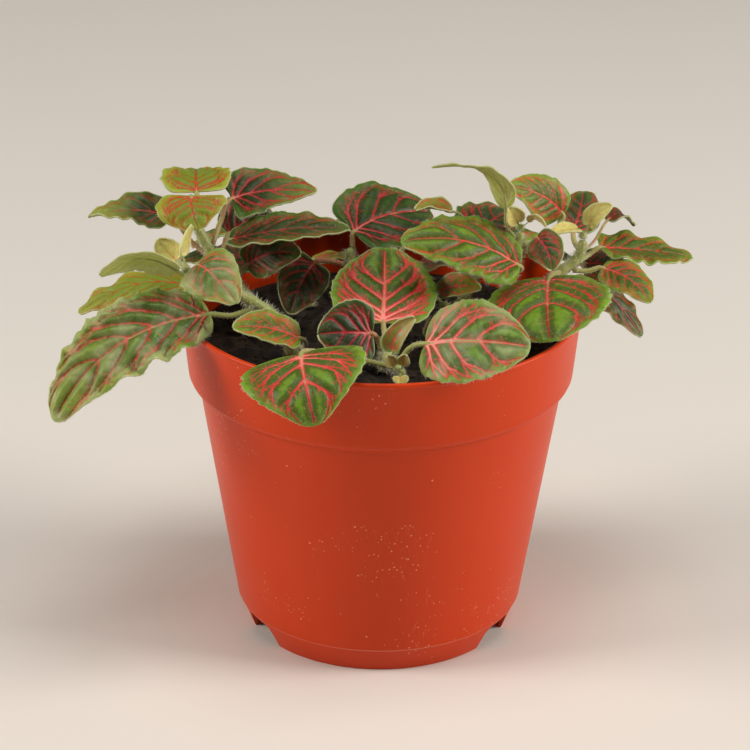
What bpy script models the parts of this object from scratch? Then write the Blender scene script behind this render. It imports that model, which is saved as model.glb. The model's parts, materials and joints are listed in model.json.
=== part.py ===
"""A nerve plant in its nursery pot: a moulded pot, its soil, hairy stems, and a lofted solid for each leaf.

Metres, +Z up. The origin is on the pot's axis, on the plane that the foot stands on. The plant's full side
faces -Y.
"""

import math
from typing import NamedTuple

import bmesh
import bpy
from mathutils import Matrix, Quaternion, Vector

MM = 0.001

# Pot: one moulded shell.
POT_HEIGHT = 103 * MM
RIM_RADIUS = 60 * MM
WALL = 1.2 * MM
LIP_HEIGHT = 1.6 * MM
LIP_PROUD = 0.5 * MM
COLLAR_DEPTH = 22.0 * MM
COLLAR_TAPER = 1.9 * MM
COLLAR_STEP = 2.9 * MM
COLLAR_ROUND = 1.6 * MM
BODY_FOOT_RADIUS = 43.5 * MM
FOOT_HEIGHT = 8.0 * MM
FOOT_RADIUS = 39.8 * MM
SEAM_INSET = 0.5 * MM
FLOOR_THICKNESS = 1.5 * MM
POT_SIDES = 44

# Notches through the foot skirt and holes through the floor.
NOTCH_COUNT = 3
NOTCH_WIDTH = 16.0 * MM
NOTCH_HEIGHT = 7.0 * MM
NOTCH_SLANT = 1.0 * MM
NOTCH_CORNER = 2.5 * MM
NOTCH_TURN = math.radians(-30)
DRAIN_COUNT = 6
DRAIN_RADIUS = 3.5 * MM
DRAIN_RING = 27.0 * MM
CUTTER_SIDES = 12

# Soil.
SOIL_DEPTH = 13.0 * MM
SOIL_SIDES = 32

# What fits to what.
SEAT_GAP = 0.3 * MM

# Plant. Its places and sizes below are drawn in millimetres for a rim of DRAWN_RIM, from the centre of the
# rim plane: X to the right, Y to the back, Z above the rim. The plant spreads with the rim it grows over.
DRAWN_RIM = 60 * MM
SPREAD = RIM_RADIUS / DRAWN_RIM
STEM_ROOT_RADIUS = 1.9 * MM
STEM_TIP_RADIUS = 1.4 * MM
PETIOLE_RADIUS = 0.95 * MM
BUD_RADIUS = 1.4 * MM
PETIOLE_GROOVE = 0.45
PETIOLES_ACROSS_SMALL_LEAF = 8
LEAF_HALF_THICKNESS = 0.4 * MM
MIDRIB_PROUD = 0.35 * MM
HEEL_LOBE = 0.11
RING_POINTS = 8

UP = (0.0, 0.0, 1.0)
FRONT = (0.0, -0.85, 0.5)
TILTED = (0.0, -0.5, 0.85)
FLAT = (0.0, -0.2, 1.0)

# A blade's outline: share of the midrib's length, share of the half width.
OVAL = ((0.07, 0.63), (0.25, 0.96), (0.47, 0.99), (0.70, 0.79), (0.88, 0.47), (1.0, 0.09))
HEART = ((0.04, 0.74), (0.19, 1.00), (0.40, 0.95), (0.64, 0.72), (0.86, 0.40), (1.0, 0.07))


class Tone(NamedTuple):
    """A finish: its colour, roughness and metallic value."""

    colour: tuple
    roughness: float
    metallic: float = 0.0


TONES = {
    "pot": Tone((0.62, 0.10, 0.035), 0.42),
    "soil": Tone((0.035, 0.022, 0.014), 0.95),
    "stem": Tone((0.30, 0.30, 0.13), 0.7),
    "dark": Tone((0.045, 0.13, 0.05), 0.45),
    "green": Tone((0.10, 0.26, 0.05), 0.45),
    "young": Tone((0.33, 0.40, 0.08), 0.5),
    "silver": Tone((0.27, 0.40, 0.22), 0.45),
    "shaded": Tone((0.05, 0.10, 0.03), 0.55),
}


class Stem(NamedTuple):
    """A stem: where it comes out of the soil, and the points that it grows through."""

    root: tuple
    points: tuple


STEMS = {
    "stem_left": Stem(
        (-26, -12), ((-29, -15, -2), (-35, -18, 5.5), (-45.5, -18.5, 11.5), (-55.5, -18.5, 17)),
    ),
    "stem_upper_left": Stem(
        (-32, 4), ((-38, 1, -2), (-44, 0, 6), (-50, 1, 14), (-54, 3, 21), (-55, 3.5, 27)),
    ),
    "stem_middle": Stem((-8, 8), ((-9, 10, 0), (-9.5, 12, 12))),
    "stem_front": Stem((1, -20), ((1.5, -28, -5.5), (3.5, -36, -4.5), (5.5, -40, -4.5))),
    "stem_inner": Stem((20, -2), ((19.5, -4, -3), (18.5, -6, 2))),
    "stem_right": Stem((30, -3), ((35, -1, 0), (38.7, 0, 9), (39.7, 0, 14.5), (41, 1, 22))),
    "stem_far_right": Stem((40, 2), ((47, 4, 0), (53, 6, 7), (58.5, 8.5, 11), (60, 9, 16.5))),
    "stem_back_left": Stem((-22, 24), ((-27, 32, -4), (-34, 38, 1))),
    "stem_back": Stem((2, 28), ((3, 36, -4), (4, 42, 0))),
    "stem_back_right": Stem((24, 24), ((30, 32, -3), (34, 36, 3))),
}


class Leaf(NamedTuple):
    """A leaf: the stem that carries it and how far along, its midrib's heel, middle and tip, its width, the
    way that its upper side looks, how many degrees each margin curls up, its tone, how many degrees its face
    turns about the midrib on the way to the tip, and its outline."""

    stem: str
    along: float
    heel: tuple
    middle: tuple
    tip: tuple
    width: float
    face: tuple
    curl: float
    tone: str
    twist: float = 0.0
    outline: tuple = OVAL


LEAVES = {
    # Left shoot.
    "leaf_left_long": Leaf(
        "stem_left", 0.55, (-50, -22, 4.8), (-76, -37, 0.8), (-93, -48, -18), 24, (-0.15, -0.65, 0.75),
        10, "silver",
    ),
    "leaf_left_under": Leaf(
        "stem_left", 0.72, (-56, -9, 8), (-72, -8, 8), (-89, -12, 0.5), 15, FLAT, -10, "young",
    ),
    "leaf_left_folded": Leaf(
        "stem_left", 0.92, (-59, -21, 18), (-70, -22.5, 22.5), (-81, -24, 17.5), 10, (0, 0.85, 0.5),
        -35, "young",
    ),
    "leaf_left_silver": Leaf(
        "stem_left", 0.84, (-53.4, -21.6, 20.2), (-48.6, -27, 19.4), (-41.3, -32, 12.5), 18,
        (0.2, -0.7, 0.6), -12, "silver",
    ),
    "leaf_left_inner": Leaf(
        "stem_left", 0.12, (-23.5, -30, 1), (-33, -34, 6), (-42, -38, 7.5), 12, TILTED, 15, "green"
    ),
    # Upper left shoot.
    "leaf_upper_back": Leaf(
        "stem_upper_left", 0.97, (-54.8, 6, 32), (-55.4, 14, 34), (-55.8, 25, 32), 21, (0, -0.45, 0.9),
        15, "young",
    ),
    "leaf_upper_front": Leaf(
        "stem_upper_left", 0.93, (-56, 1, 32.5), (-55.5, -4, 30.5), (-53.5, -8, 25.5), 21, FRONT, -8,
        "young",
    ),
    "leaf_upper_heart": Leaf(
        "stem_upper_left", 0.66, (-44.7, 13, 27.4), (-34, 14, 29.5), (-19.7, 11, 30.6), 18, TILTED, 8,
        "dark", 0, HEART,
    ),
    "leaf_upper_curled": Leaf(
        "stem_upper_left", 0.6, (-63.5, 7, 24), (-74.5, 4, 26.8), (-86.4, 0, 26.2), 12, FRONT, 20,
        "dark", 70,
    ),
    "leaf_upper_shaded": Leaf(
        "stem_upper_left", 0.5, (-46, 18, 14), (-40, 22, 17), (-33.3, 26, 17), 15, FRONT, 10, "shaded"
    ),
    "leaf_upper_side": Leaf(
        "stem_upper_left", 0.56, (-45, 2, 18.5), (-27.5, 0, 22.8), (-9.5, 3, 22), 16, FLAT, 18, "dark"
    ),
    "leaf_upper_low": Leaf(
        "stem_upper_left", 0.4, (-40, 4, 9.5), (-33, 1, 14.5), (-24, -3, 16), 13, FRONT, 10, "dark",
    ),
    # Middle shoot.
    "leaf_middle_top": Leaf(
        "stem_middle", 0.97, (-8.5, 15, 16.3), (2, 23, 18.8), (15, 32, 16.3), 27, TILTED, 8, "dark",
    ),
    "leaf_middle_left": Leaf(
        "stem_middle", 0.8, (-20, 8, 9), (-24, 3, 4), (-27, -3, -3), 15, FRONT, 10, "shaded",
    ),
    # Front shoot, which hangs two leaves over the rim.
    "leaf_front_big": Leaf(
        "stem_front", 0.4, (0.6, -24, 3.5), (0.8, -10.5, 9.3), (1, 2, 16.3), 31, (0, -0.6, 0.8), 12,
        "green",
    ),
    "leaf_front_dark": Leaf(
        "stem_front", 0.3, (-2.5, -27.5, 1.5), (-10, -30.5, 3), (-18, -33, 3.5), 19, FRONT, 8, "shaded"
    ),
    "leaf_front_left": Leaf(
        "stem_front", 0.8, (-22.5, -50, 4.6), (-21, -64, 2.2), (-18, -70.5, -8), 36, (-0.15, -0.6, 0.8),
        -14, "green", 0, HEART,
    ),
    "leaf_front_right": Leaf(
        "stem_front", 0.88, (12.5, -44.5, 6), (27, -52, 10.4), (42, -54, 9.4), 26.5,
        (-0.15, -0.6, 0.75), -4, "silver",
    ),
    "leaf_front_young": Leaf(
        "stem_front", 0.72, (3.4, -37, 0), (4.4, -37, 5), (9.5, -36, 10), 7, (-0.5, -0.8, 0.3), 40,
        "silver",
    ),
    # Inner shoot, short and in shade.
    "leaf_inner_small": Leaf(
        "stem_inner", 0.9, (17, -7.5, 6.5), (22.5, -9, 9), (29, -11, 9), 9, TILTED, 15, "green",
    ),
    "leaf_inner_shaded": Leaf(
        "stem_inner", 0.7, (21, -10, -0.5), (17.3, -15, -1), (12.6, -19, -2.5), 8, TILTED, 20, "shaded"
    ),
    # Right shoot.
    "leaf_right_wide": Leaf(
        "stem_right", 0.66, (40.5, -9, 15.5), (24, -12, 24.3), (5.5, -15, 25), 23, (-0.1, -0.45, 0.9),
        -12, "green",
    ),
    "leaf_right_behind": Leaf(
        "stem_right", 0.7, (28, 10, 18), (32.5, 17, 19.2), (38, 25, 19.5), 20, TILTED, 10, "dark"
    ),
    "leaf_right_crinkled": Leaf(
        "stem_right", 0.78, (20.5, 10, 25), (15, 9, 27), (10, 7, 26.5), 7, FLAT, 50, "green",
    ),
    "leaf_right_arching": Leaf(
        "stem_right", 0.95, (36.2, -1.5, 31), (30.5, -4, 43), (14.3, -7, 45.4), 8, (-0.1, 0.35, 0.9), 8,
        "young",
    ),
    "leaf_right_top": Leaf(
        "stem_right", 0.86, (54, 13.5, 23), (47.5, 9, 30.5), (37.5, 4, 35.5), 15, (-0.2, -0.7, 0.7),
        -18, "green",
    ),
    "leaf_right_small": Leaf(
        "stem_right", 0.8, (45.5, -0.5, 21), (48.5, -4, 18.5), (50, -8, 13.8), 11, FRONT, -10, "dark",
    ),
    # Far right shoot.
    "leaf_far_big": Leaf(
        "stem_far_right", 0.5, (49, -6.5, 10.5), (48, -24, 9.5), (48.6, -38, 4), 37, (-0.15, -0.4, 0.9),
        -14, "green",
    ),
    "leaf_far_back": Leaf(
        "stem_far_right", 0.85, (57.5, 17, 16.5), (60, 25, 20.5), (61, 33, 23), 14, (0, -0.7, 0.7), 10,
        "dark",
    ),
    "leaf_far_edge": Leaf(
        "stem_far_right", 0.82, (68, 19.5, 19), (71.8, 22.5, 20), (76.3, 25.5, 15), 7, (0.4, 0.2, 0.9),
        15, "shaded",
    ),
    "leaf_far_right": Leaf(
        "stem_far_right", 0.72, (66, 15, 12), (80, 20, 9), (94.5, 25, 5), 17, FLAT, 8, "green",
    ),
    "leaf_far_low": Leaf(
        "stem_far_right", 0.62, (66, 7, 8.5), (74, 1.5, 7), (79.4, -5, 2.5), 13, (0.3, -0.6, 0.75), -12,
        "green",
    ),
    "leaf_far_hanging": Leaf(
        "stem_far_right", 0.25, (61, 14, 2.6), (70.5, 13, -4.5), (79, 10, -15), 12, (0.2, -0.4, 0.9),
        -10, "dark",
    ),
    "leaf_far_shaded": Leaf(
        "stem_far_right", 0.42, (62, 24, 3), (70, 26, 1), (77, 25, -4), 12, TILTED, 8, "shaded"
    ),
    # Back of the plant.
    "leaf_back_left_rim": Leaf(
        "stem_back_left", 0.95, (-40, 44, 4), (-50, 50, 3), (-59, 54, -5), 22, (-0.3, 0.3, 0.9), -10,
        "green",
    ),
    "leaf_back_left_long": Leaf(
        "stem_back_left", 0.9, (-29, 45, 3), (-27.5, 57, 2.5), (-27, 66, -6), 18.5, (0, 0.3, 0.95), -10,
        "dark",
    ),
    "leaf_back_left_side": Leaf(
        "stem_back_left", 0.55, (-38, 26, 1), (-50, 28, 4), (-62, 31, 0), 20, (-0.3, 0.1, 0.95), -8,
        "dark",
    ),
    "leaf_back_left_inner": Leaf(
        "stem_back_left", 0.6, (-20, 34, -1), (-13, 37, 0), (-6, 38, -3), 13, (0, 0.2, 0.95), -5, "green"
    ),
    "leaf_back_hanging": Leaf(
        "stem_back", 0.95, (-2, 47, 3.8), (-9, 58, 3), (-14, 68.5, -5), 21, (0, 0.3, 0.95), -12, "green"
    ),
    "leaf_back_silver": Leaf(
        "stem_back", 0.9, (9, 48, 3.8), (14, 58, 3), (18, 68.5, -5), 21, (0.1, 0.3, 0.95), -12, "silver"
    ),
    "leaf_back_inner": Leaf(
        "stem_back", 0.6, (12, 30, 0), (18, 26, 3), (24, 22, 4), 14, (0, -0.2, 0.95), 8, "dark",
    ),
    "leaf_back_right_rim": Leaf(
        "stem_back_right", 0.95, (37, 42, 5), (41, 51, 4), (44, 59, -4), 20, (0.2, 0.3, 0.9), -10, "green"
    ),
    "leaf_back_right_side": Leaf(
        "stem_back_right", 0.9, (44, 32, 5), (54.5, 33, 3), (65, 36, -5), 18, (0.3, 0.2, 0.9), -10, "dark"
    ),
    "leaf_back_right_young": Leaf(
        "stem_back_right", 0.97, (31, 35, 7), (28, 36, 12), (24, 37, 15), 9, (0.3, 0.3, 0.9), 25, "young"
    ),
}

# Growing tips: young leaves and bracts that spread from one bud on the end of a stem.
TIPS = {
    "tip_left": [
        Leaf(
            "stem_left", 1.0, (-59.5, -15.5, 18.8), (-62.5, -13.5, 21), (-65, -12.5, 24), 8, FRONT, 20,
            "young",
        ),
        Leaf(
            "stem_left", 1.0, (-57.8, -17.2, 21), (-57.4, -15.5, 24.5), (-55, -12.5, 28.5), 6,
            (1, -0.4, 0), 50, "young",
        ),
    ],
    "tip_front": [
        Leaf(
            "stem_front", 1.0, (3.6, -42.2, -2.2), (2.8, -43, -0.2), (2, -43.6, 1.4), 3.6, FRONT, 30,
            "young",
        ),
        Leaf(
            "stem_front", 1.0, (6.2, -41.8, -2), (6.6, -42.2, -0.2), (7, -42.8, 1.4), 3.4, FRONT, 30,
            "young",
        ),
        Leaf(
            "stem_front", 1.0, (5.6, -44, -4.6), (5.7, -46, -4.8), (5.7, -48, -5.6), 4.5, FRONT, 20,
            "young",
        ),
    ],
    "tip_right": [
        Leaf(
            "stem_right", 1.0, (39.9, -0.5, 25.5), (38.6, -2, 28.5), (37.2, -3, 31), 6, FRONT, 35,
            "young",
        ),
        Leaf(
            "stem_right", 1.0, (43, -0.4, 25.8), (45, -2, 28.5), (48, -3.5, 25.5), 6, (0.2, -0.4, 0.9),
            -30, "young",
        ),
    ],
    "tip_far": [
        Leaf(
            "stem_far_right", 1.0, (58.2, 7.4, 20.6), (54, 4.8, 21.4), (48.8, 1.8, 20.8), 6, FLAT, 40,
            "young",
        ),
        Leaf(
            "stem_far_right", 1.0, (61.6, 9.6, 20.8), (63.5, 9.5, 24.4), (68, 9, 27.5), 7,
            (-0.5, -0.6, 0.5), 35, "young",
        ),
    ],
}


def clear_scene():
    for item in list(bpy.data.objects):
        bpy.data.objects.remove(item, do_unlink=True)


def make_material(name, tone):
    material = bpy.data.materials.new(name)
    material.use_nodes = True
    shader = material.node_tree.nodes["Principled BSDF"]
    shader.inputs["Base Color"].default_value = (*tone.colour, 1.0)
    shader.inputs["Roughness"].default_value = tone.roughness
    shader.inputs["Metallic"].default_value = tone.metallic
    material.diffuse_color = (*tone.colour, 1.0)
    return material


def add_object(name, mesh, tone):
    item = bpy.data.objects.new(name, mesh)
    bpy.context.scene.collection.objects.link(item)
    mesh.materials.append(make_material(name + "_finish", TONES[tone]))
    mesh.shade_smooth()
    return item


def loft(name, rings, tone):
    """A closed body: a skin over rings of equal point count, with a cap at either end."""
    shape = bmesh.new()
    loops = [[shape.verts.new(point) for point in ring] for ring in rings]
    for near, far in zip(loops, loops[1:]):
        for side in range(len(near)):
            after = (side + 1) % len(near)
            shape.faces.new((near[side], near[after], far[after], far[side]))
    shape.faces.new(loops[0][::-1])
    shape.faces.new(loops[-1])
    bmesh.ops.recalc_face_normals(shape, faces=shape.faces)
    mesh = bpy.data.meshes.new(name)
    shape.to_mesh(mesh)
    shape.free()
    return add_object(name, mesh, tone)


def lathe(name, outline, sides, tone):
    """A body turned about Z from an outline of (radius, height) points, closed or ending on the axis."""
    shape = bmesh.new()
    points = [shape.verts.new((radius, 0.0, height)) for radius, height in outline]
    for near, far in zip(points, points[1:]):
        shape.edges.new((near, far))
    if min(outline[0][0], outline[-1][0]) > 0:
        shape.edges.new((points[-1], points[0]))
    outline_edges = shape.verts[:] + shape.edges[:]
    bmesh.ops.spin(shape, geom=outline_edges, cent=(0, 0, 0), axis=(0, 0, 1), angle=math.tau, steps=sides)
    bmesh.ops.remove_doubles(shape, verts=shape.verts, dist=0.01 * MM)
    bmesh.ops.recalc_face_normals(shape, faces=shape.faces)
    mesh = bpy.data.meshes.new(name)
    shape.to_mesh(mesh)
    shape.free()
    return add_object(name, mesh, tone)


def collar_base():
    """The height of the collar's lower edge."""
    return POT_HEIGHT - COLLAR_DEPTH


def body_top_radius():
    return RIM_RADIUS - LIP_PROUD - COLLAR_TAPER - COLLAR_STEP


def pot_outside():
    """The pot's outer outline, from the foot up to the lip's crest."""
    collar_low = RIM_RADIUS - LIP_PROUD - COLLAR_TAPER
    lip_base = POT_HEIGHT - LIP_HEIGHT
    return [
        (FOOT_RADIUS, 0.0),
        (BODY_FOOT_RADIUS - SEAM_INSET, FOOT_HEIGHT),
        (BODY_FOOT_RADIUS, FOOT_HEIGHT + SEAM_INSET),
        (body_top_radius(), collar_base() - COLLAR_ROUND),
        (collar_low - 0.35 * COLLAR_ROUND, collar_base()),
        (collar_low, collar_base() + 0.8 * COLLAR_ROUND),
        (RIM_RADIUS - LIP_PROUD, lip_base),
        (RIM_RADIUS, lip_base + 0.3 * LIP_HEIGHT),
        (RIM_RADIUS - 0.3 * LIP_PROUD, POT_HEIGHT - 0.15 * LIP_HEIGHT),
        (RIM_RADIUS - 0.5 * WALL, POT_HEIGHT),
    ]


def pot_inside():
    """The pot's inner outline above its floor, from the lip down."""
    return [
        (RIM_RADIUS - LIP_PROUD - WALL, POT_HEIGHT - 0.2 * LIP_HEIGHT),
        (RIM_RADIUS - LIP_PROUD - COLLAR_TAPER - WALL, collar_base() + COLLAR_ROUND),
        (body_top_radius() - WALL, collar_base() - 1.5 * COLLAR_ROUND),
        (BODY_FOOT_RADIUS - WALL, FOOT_HEIGHT + FLOOR_THICKNESS),
    ]


def inner_radius(height):
    """The radius of the pot's inner face at a height above its floor."""
    outline = pot_inside()
    for (upper_radius, upper), (lower_radius, lower) in zip(outline, outline[1:]):
        if height >= lower:
            share = (height - lower) / (upper - lower)
            return lower_radius + share * (upper_radius - lower_radius)
    return outline[-1][0]


def combine(item, helper, operation):
    """Joins or cuts the item with a helper body, which itself isn't a piece."""
    helper.hide_render = True
    helper.display_type = "WIRE"
    boolean = item.modifiers.new(helper.name, "BOOLEAN")
    boolean.object = helper
    boolean.operation = operation


def radial_cutters(name, count, make_one):
    """One cutter object that holds a body at each of `count` even turns about the pot's axis."""
    shape = bmesh.new()
    for index in range(count):
        make_one(shape, math.tau * index / count)
    bmesh.ops.recalc_face_normals(shape, faces=shape.faces)
    mesh = bpy.data.meshes.new(name)
    shape.to_mesh(mesh)
    shape.free()
    cutter = bpy.data.objects.new(name, mesh)
    bpy.context.scene.collection.objects.link(cutter)
    return cutter


def add_prism(shape, section, start, end):
    """A closed prism: `section` maps to points at `start` and at `end` along its own direction."""
    near = [shape.verts.new(start(point)) for point in section]
    far = [shape.verts.new(end(point)) for point in section]
    for index in range(len(section)):
        after = (index + 1) % len(section)
        shape.faces.new((near[index], near[after], far[after], far[index]))
    shape.faces.new(near[::-1])
    shape.faces.new(far)


def notch_section():
    """A notch's outline: sides that lean in, round upper corners, and open at the ground."""
    half = NOTCH_WIDTH / 2
    centre = (half - NOTCH_SLANT - NOTCH_CORNER, NOTCH_HEIGHT - NOTCH_CORNER)
    steps = CUTTER_SIDES // 3
    corner = [
        (centre[0] + NOTCH_CORNER * math.cos(angle), centre[1] + NOTCH_CORNER * math.sin(angle))
        for angle in (math.pi / 2 * step / steps for step in range(steps + 1))
    ]
    right = [(half, -NOTCH_HEIGHT), (half, 0.0), *corner]
    return right + [(-across, height) for across, height in right[::-1]]


def notch_cutter():
    """Slots that run out through the foot skirt, open at the ground."""
    section = notch_section()

    def make_one(shape, turn):
        outward = Vector((math.cos(turn + NOTCH_TURN), math.sin(turn + NOTCH_TURN), 0))
        across = Vector((-outward.y, outward.x, 0))
        inner = FOOT_RADIUS - 4 * WALL
        outer = BODY_FOOT_RADIUS + 2 * WALL

        def at(reach):
            return lambda point: outward * reach + across * point[0] + Vector((0, 0, point[1]))

        add_prism(shape, section, at(inner), at(outer))

    return radial_cutters("notch_cutter", NOTCH_COUNT, make_one)


def drain_cutter():
    """Round holes down through the floor."""
    section = [
        (DRAIN_RADIUS * math.cos(angle), DRAIN_RADIUS * math.sin(angle))
        for angle in (math.tau * step / CUTTER_SIDES for step in range(CUTTER_SIDES))
    ]

    def make_one(shape, turn):
        centre = Vector((DRAIN_RING * math.cos(turn), DRAIN_RING * math.sin(turn), 0))

        def at(height):
            return lambda point: centre + Vector((point[0], point[1], height))

        add_prism(shape, section, at(FOOT_HEIGHT - FLOOR_THICKNESS), at(FOOT_HEIGHT + 2 * FLOOR_THICKNESS))

    return radial_cutters("drain_cutter", DRAIN_COUNT, make_one)


def make_pot():
    outside = pot_outside()
    inside = pot_inside()
    under_floor = [
        (0.0, FOOT_HEIGHT),
        (BODY_FOOT_RADIUS - SEAM_INSET - WALL, FOOT_HEIGHT),
        (FOOT_RADIUS - WALL, 0.0),
    ]
    floor_middle = [(0.0, FOOT_HEIGHT + FLOOR_THICKNESS)]
    pot = lathe("pot", under_floor + outside + inside + floor_middle, POT_SIDES, "pot")
    combine(pot, notch_cutter(), "DIFFERENCE")
    combine(pot, drain_cutter(), "DIFFERENCE")


def soil_top():
    return POT_HEIGHT - SOIL_DEPTH


def make_soil():
    """A plug that fills the pot up to the soil's surface, a seat gap clear of the pot all round."""
    floor = FOOT_HEIGHT + FLOOR_THICKNESS + SEAT_GAP
    between = [height for _, height in pot_inside()[-2:0:-1] if height < soil_top()]
    heights = [floor, *between, soil_top()]
    # A turned body's flats lie inside its round, so the plug's corners clear the pot's own flats.
    flats = math.cos(math.pi / POT_SIDES)
    side = [((inner_radius(height) - SEAT_GAP) * flats, height) for height in heights]
    lathe("soil", [(0.0, floor), *side, (0.0, soil_top())], SOIL_SIDES, "soil")


def plant_point(drawn):
    """A drawn place, in metres from the origin."""
    return Vector((0, 0, POT_HEIGHT)) + Vector(drawn) * (SPREAD * MM)


def stem_path(stem):
    """The stem's points, the first of them a seat gap above the soil."""
    root = Vector((stem.root[0] * SPREAD * MM, stem.root[1] * SPREAD * MM, soil_top() + SEAT_GAP))
    return [root] + [plant_point(point) for point in stem.points]


def along_path(path, share):
    """Place and direction at a share of a smooth curve through the path's points."""
    spans = len(path) - 1
    place = min(max(share, 0.0), 1.0) * spans
    index = min(int(place), spans - 1)
    local = place - index
    start, end = path[index], path[index + 1]
    before = path[index - 1] if index else start - Vector((0, 0, (end - start).length))
    after = path[index + 2] if index + 2 <= spans else end + (end - start)
    leave, arrive = (end - before) / 2, (after - start) / 2
    square, cube = local * local, local**3
    point = (
        start * (2 * cube - 3 * square + 1)
        + leave * (cube - 2 * square + local)
        + end * (3 * square - 2 * cube)
        + arrive * (cube - square)
    )
    slope = (
        start * (6 * square - 6 * local)
        + leave * (3 * square - 4 * local + 1)
        + end * (6 * local - 6 * square)
        + arrive * (3 * square - 2 * local)
    )
    return point, slope.normalized()


def stem_radius(share):
    return STEM_ROOT_RADIUS + share * (STEM_TIP_RADIUS - STEM_ROOT_RADIUS)


def round_ring(centre, along, upper, radius, groove=0.0):
    """Eight points round `centre`, from its right side over its top, the top one drawn in by the groove."""
    across = along.cross(upper).normalized()
    upward = across.cross(along).normalized()
    ring = []
    for index in range(RING_POINTS):
        angle = math.tau * index / RING_POINTS
        reach = radius * (1 - groove) if index == RING_POINTS // 4 else radius
        ring.append(centre + across * (reach * math.cos(angle)) + upward * (reach * math.sin(angle)))
    return ring


def make_stem(name, stem):
    path = stem_path(stem)
    count = 2 * len(path)
    rings = []
    for index in range(count):
        share = index / (count - 1)
        point, direction = along_path(path, share)
        if index == 0:
            direction = Vector(UP)
        upper = Vector((0, 1, 0)) if abs(direction.y) < 0.8 else Vector((1, 0, 0))
        rings.append(round_ring(point, direction, upper, stem_radius(share), PETIOLE_GROOVE / 4))
    loft(name, rings, "stem")


def face_at(leaf, along, share):
    """The way that the blade's upper side looks at a share of its midrib, turned by the leaf's twist."""
    return Quaternion(along, math.radians(leaf.twist * share)) @ Vector(leaf.face)


def midrib(leaf, share):
    """Place and slope on the smooth curve through the leaf's heel, middle and tip."""
    heel, middle, tip = (plant_point(point) for point in (leaf.heel, leaf.middle, leaf.tip))
    point = (
        heel * ((1 - share) * (1 - 2 * share))
        + middle * (4 * share * (1 - share))
        + tip * (share * (2 * share - 1))
    )
    slope = heel * (4 * share - 3) + middle * (4 - 8 * share) + tip * (4 * share - 1)
    return point, slope


def bud_centre(stem):
    """The middle of the bud that sits on the stem's end."""
    end, direction = along_path(stem_path(STEMS[stem]), 1.0)
    return end + direction * (SEAT_GAP + BUD_RADIUS)


def petiole_rings(leaf):
    """The leaf's stalk, from its seat on the stem to the blade's heel."""
    path = stem_path(STEMS[leaf.stem])
    centre, direction = along_path(path, leaf.along)
    heel, slope = midrib(leaf, 0.0)
    reach = heel - centre
    if leaf.along < 1.0:
        outward = (reach - direction * reach.dot(direction)).normalized()
        seat = centre + outward * (stem_radius(leaf.along) + SEAT_GAP)
        upright = direction
    else:
        seat = bud_centre(leaf.stem)
        outward = (heel - seat).normalized()
        upright = Vector(leaf.face)
    length = (heel - seat).length
    leave, arrive = outward * length, slope.normalized() * length
    rings = []
    for share in (0.0, 0.5, 1.0):
        square, cube = share * share, share**3
        point = (
            seat * (2 * cube - 3 * square + 1)
            + leave * (cube - 2 * square + share)
            + heel * (3 * square - 2 * cube)
            + arrive * (cube - square)
        )
        along = (
            (heel - seat) * (6 * share - 6 * square)
            + leave * (3 * square - 4 * share + 1)
            + arrive * (3 * square - 2 * share)
        )
        upper = upright.lerp(Vector(leaf.face), share)
        size = min(PETIOLE_RADIUS, leaf.width * SPREAD * MM / PETIOLES_ACROSS_SMALL_LEAF)
        rings.append(round_ring(point, along.normalized(), upper, size, PETIOLE_GROOVE))
    return rings


def blade_ring(leaf, share, breadth):
    """Eight points round the blade at a share of its midrib: right margin, top, left margin, under."""
    point, slope = midrib(leaf, share)
    along = slope.normalized()
    across = along.cross(face_at(leaf, along, share)).normalized()
    upward = across.cross(along).normalized()
    half_width = leaf.width * SPREAD * MM / 2
    half = half_width * breadth
    curl = math.radians(leaf.curl)
    back = HEEL_LOBE * half_width * 2 * (1 - share) ** 3
    thin = LEAF_HALF_THICKNESS * (0.6 + 0.4 * min(breadth * 2, 1))
    ring = []
    for offset, side in ((1, 0), (0.5, 1), (0, 1), (-0.5, 1), (-1, 0), (-0.5, -1), (0, -1), (0.5, -1)):
        turn = curl * offset
        outward = half * (math.sin(turn) / curl if abs(curl) > 1e-3 else offset)
        raised = half * ((1 - math.cos(turn)) / curl if abs(curl) > 1e-3 else 0.0)
        normal = upward * math.cos(turn) - across * math.sin(turn)
        thick = thin + (MIDRIB_PROUD if offset == 0 and side < 0 else 0.0)
        swept = along * (back * abs(offset) ** 1.5)
        ring.append(point + across * outward + upward * raised - swept + normal * (side * thick))
    return ring


def leaf_rings(leaf):
    return petiole_rings(leaf) + [blade_ring(leaf, share, breadth) for share, breadth in leaf.outline]


def make_tip(name, leaves):
    """A bud on the stem's end, with the young leaves that spread from it joined to it."""
    shape = bmesh.new()
    place = Matrix.Translation(bud_centre(leaves[0].stem))
    bmesh.ops.create_icosphere(shape, subdivisions=2, radius=BUD_RADIUS, matrix=place)
    mesh = bpy.data.meshes.new(name)
    shape.to_mesh(mesh)
    shape.free()
    tip = add_object(name, mesh, leaves[0].tone)
    for index, leaf in enumerate(leaves, start=1):
        bract = loft(f"{name}_bract_{index}", leaf_rings(leaf), leaf.tone)
        combine(tip, bract, "UNION")


def main():
    clear_scene()
    make_pot()
    make_soil()
    for name, stem in STEMS.items():
        make_stem(name, stem)
    for name, leaf in LEAVES.items():
        loft(name, leaf_rings(leaf), leaf.tone)
    for name, leaves in TIPS.items():
        make_tip(name, leaves)


if __name__ == "__main__":
    main()
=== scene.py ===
"""A nerve plant in its nursery pot, laid out as an add-on and run as a script.

Every size is in metres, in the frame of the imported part. Each leaf grows on the lofted body that the part
gives it: its midrib, width and curl are read off that body's rings, and a fine blade is laid over them.
"""

import json
import math
import random
from typing import NamedTuple

import bmesh
import bpy
import numpy as np
from bpy.props import FloatProperty, FloatVectorProperty, IntProperty, PointerProperty
from mathutils import Matrix, Vector


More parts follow.
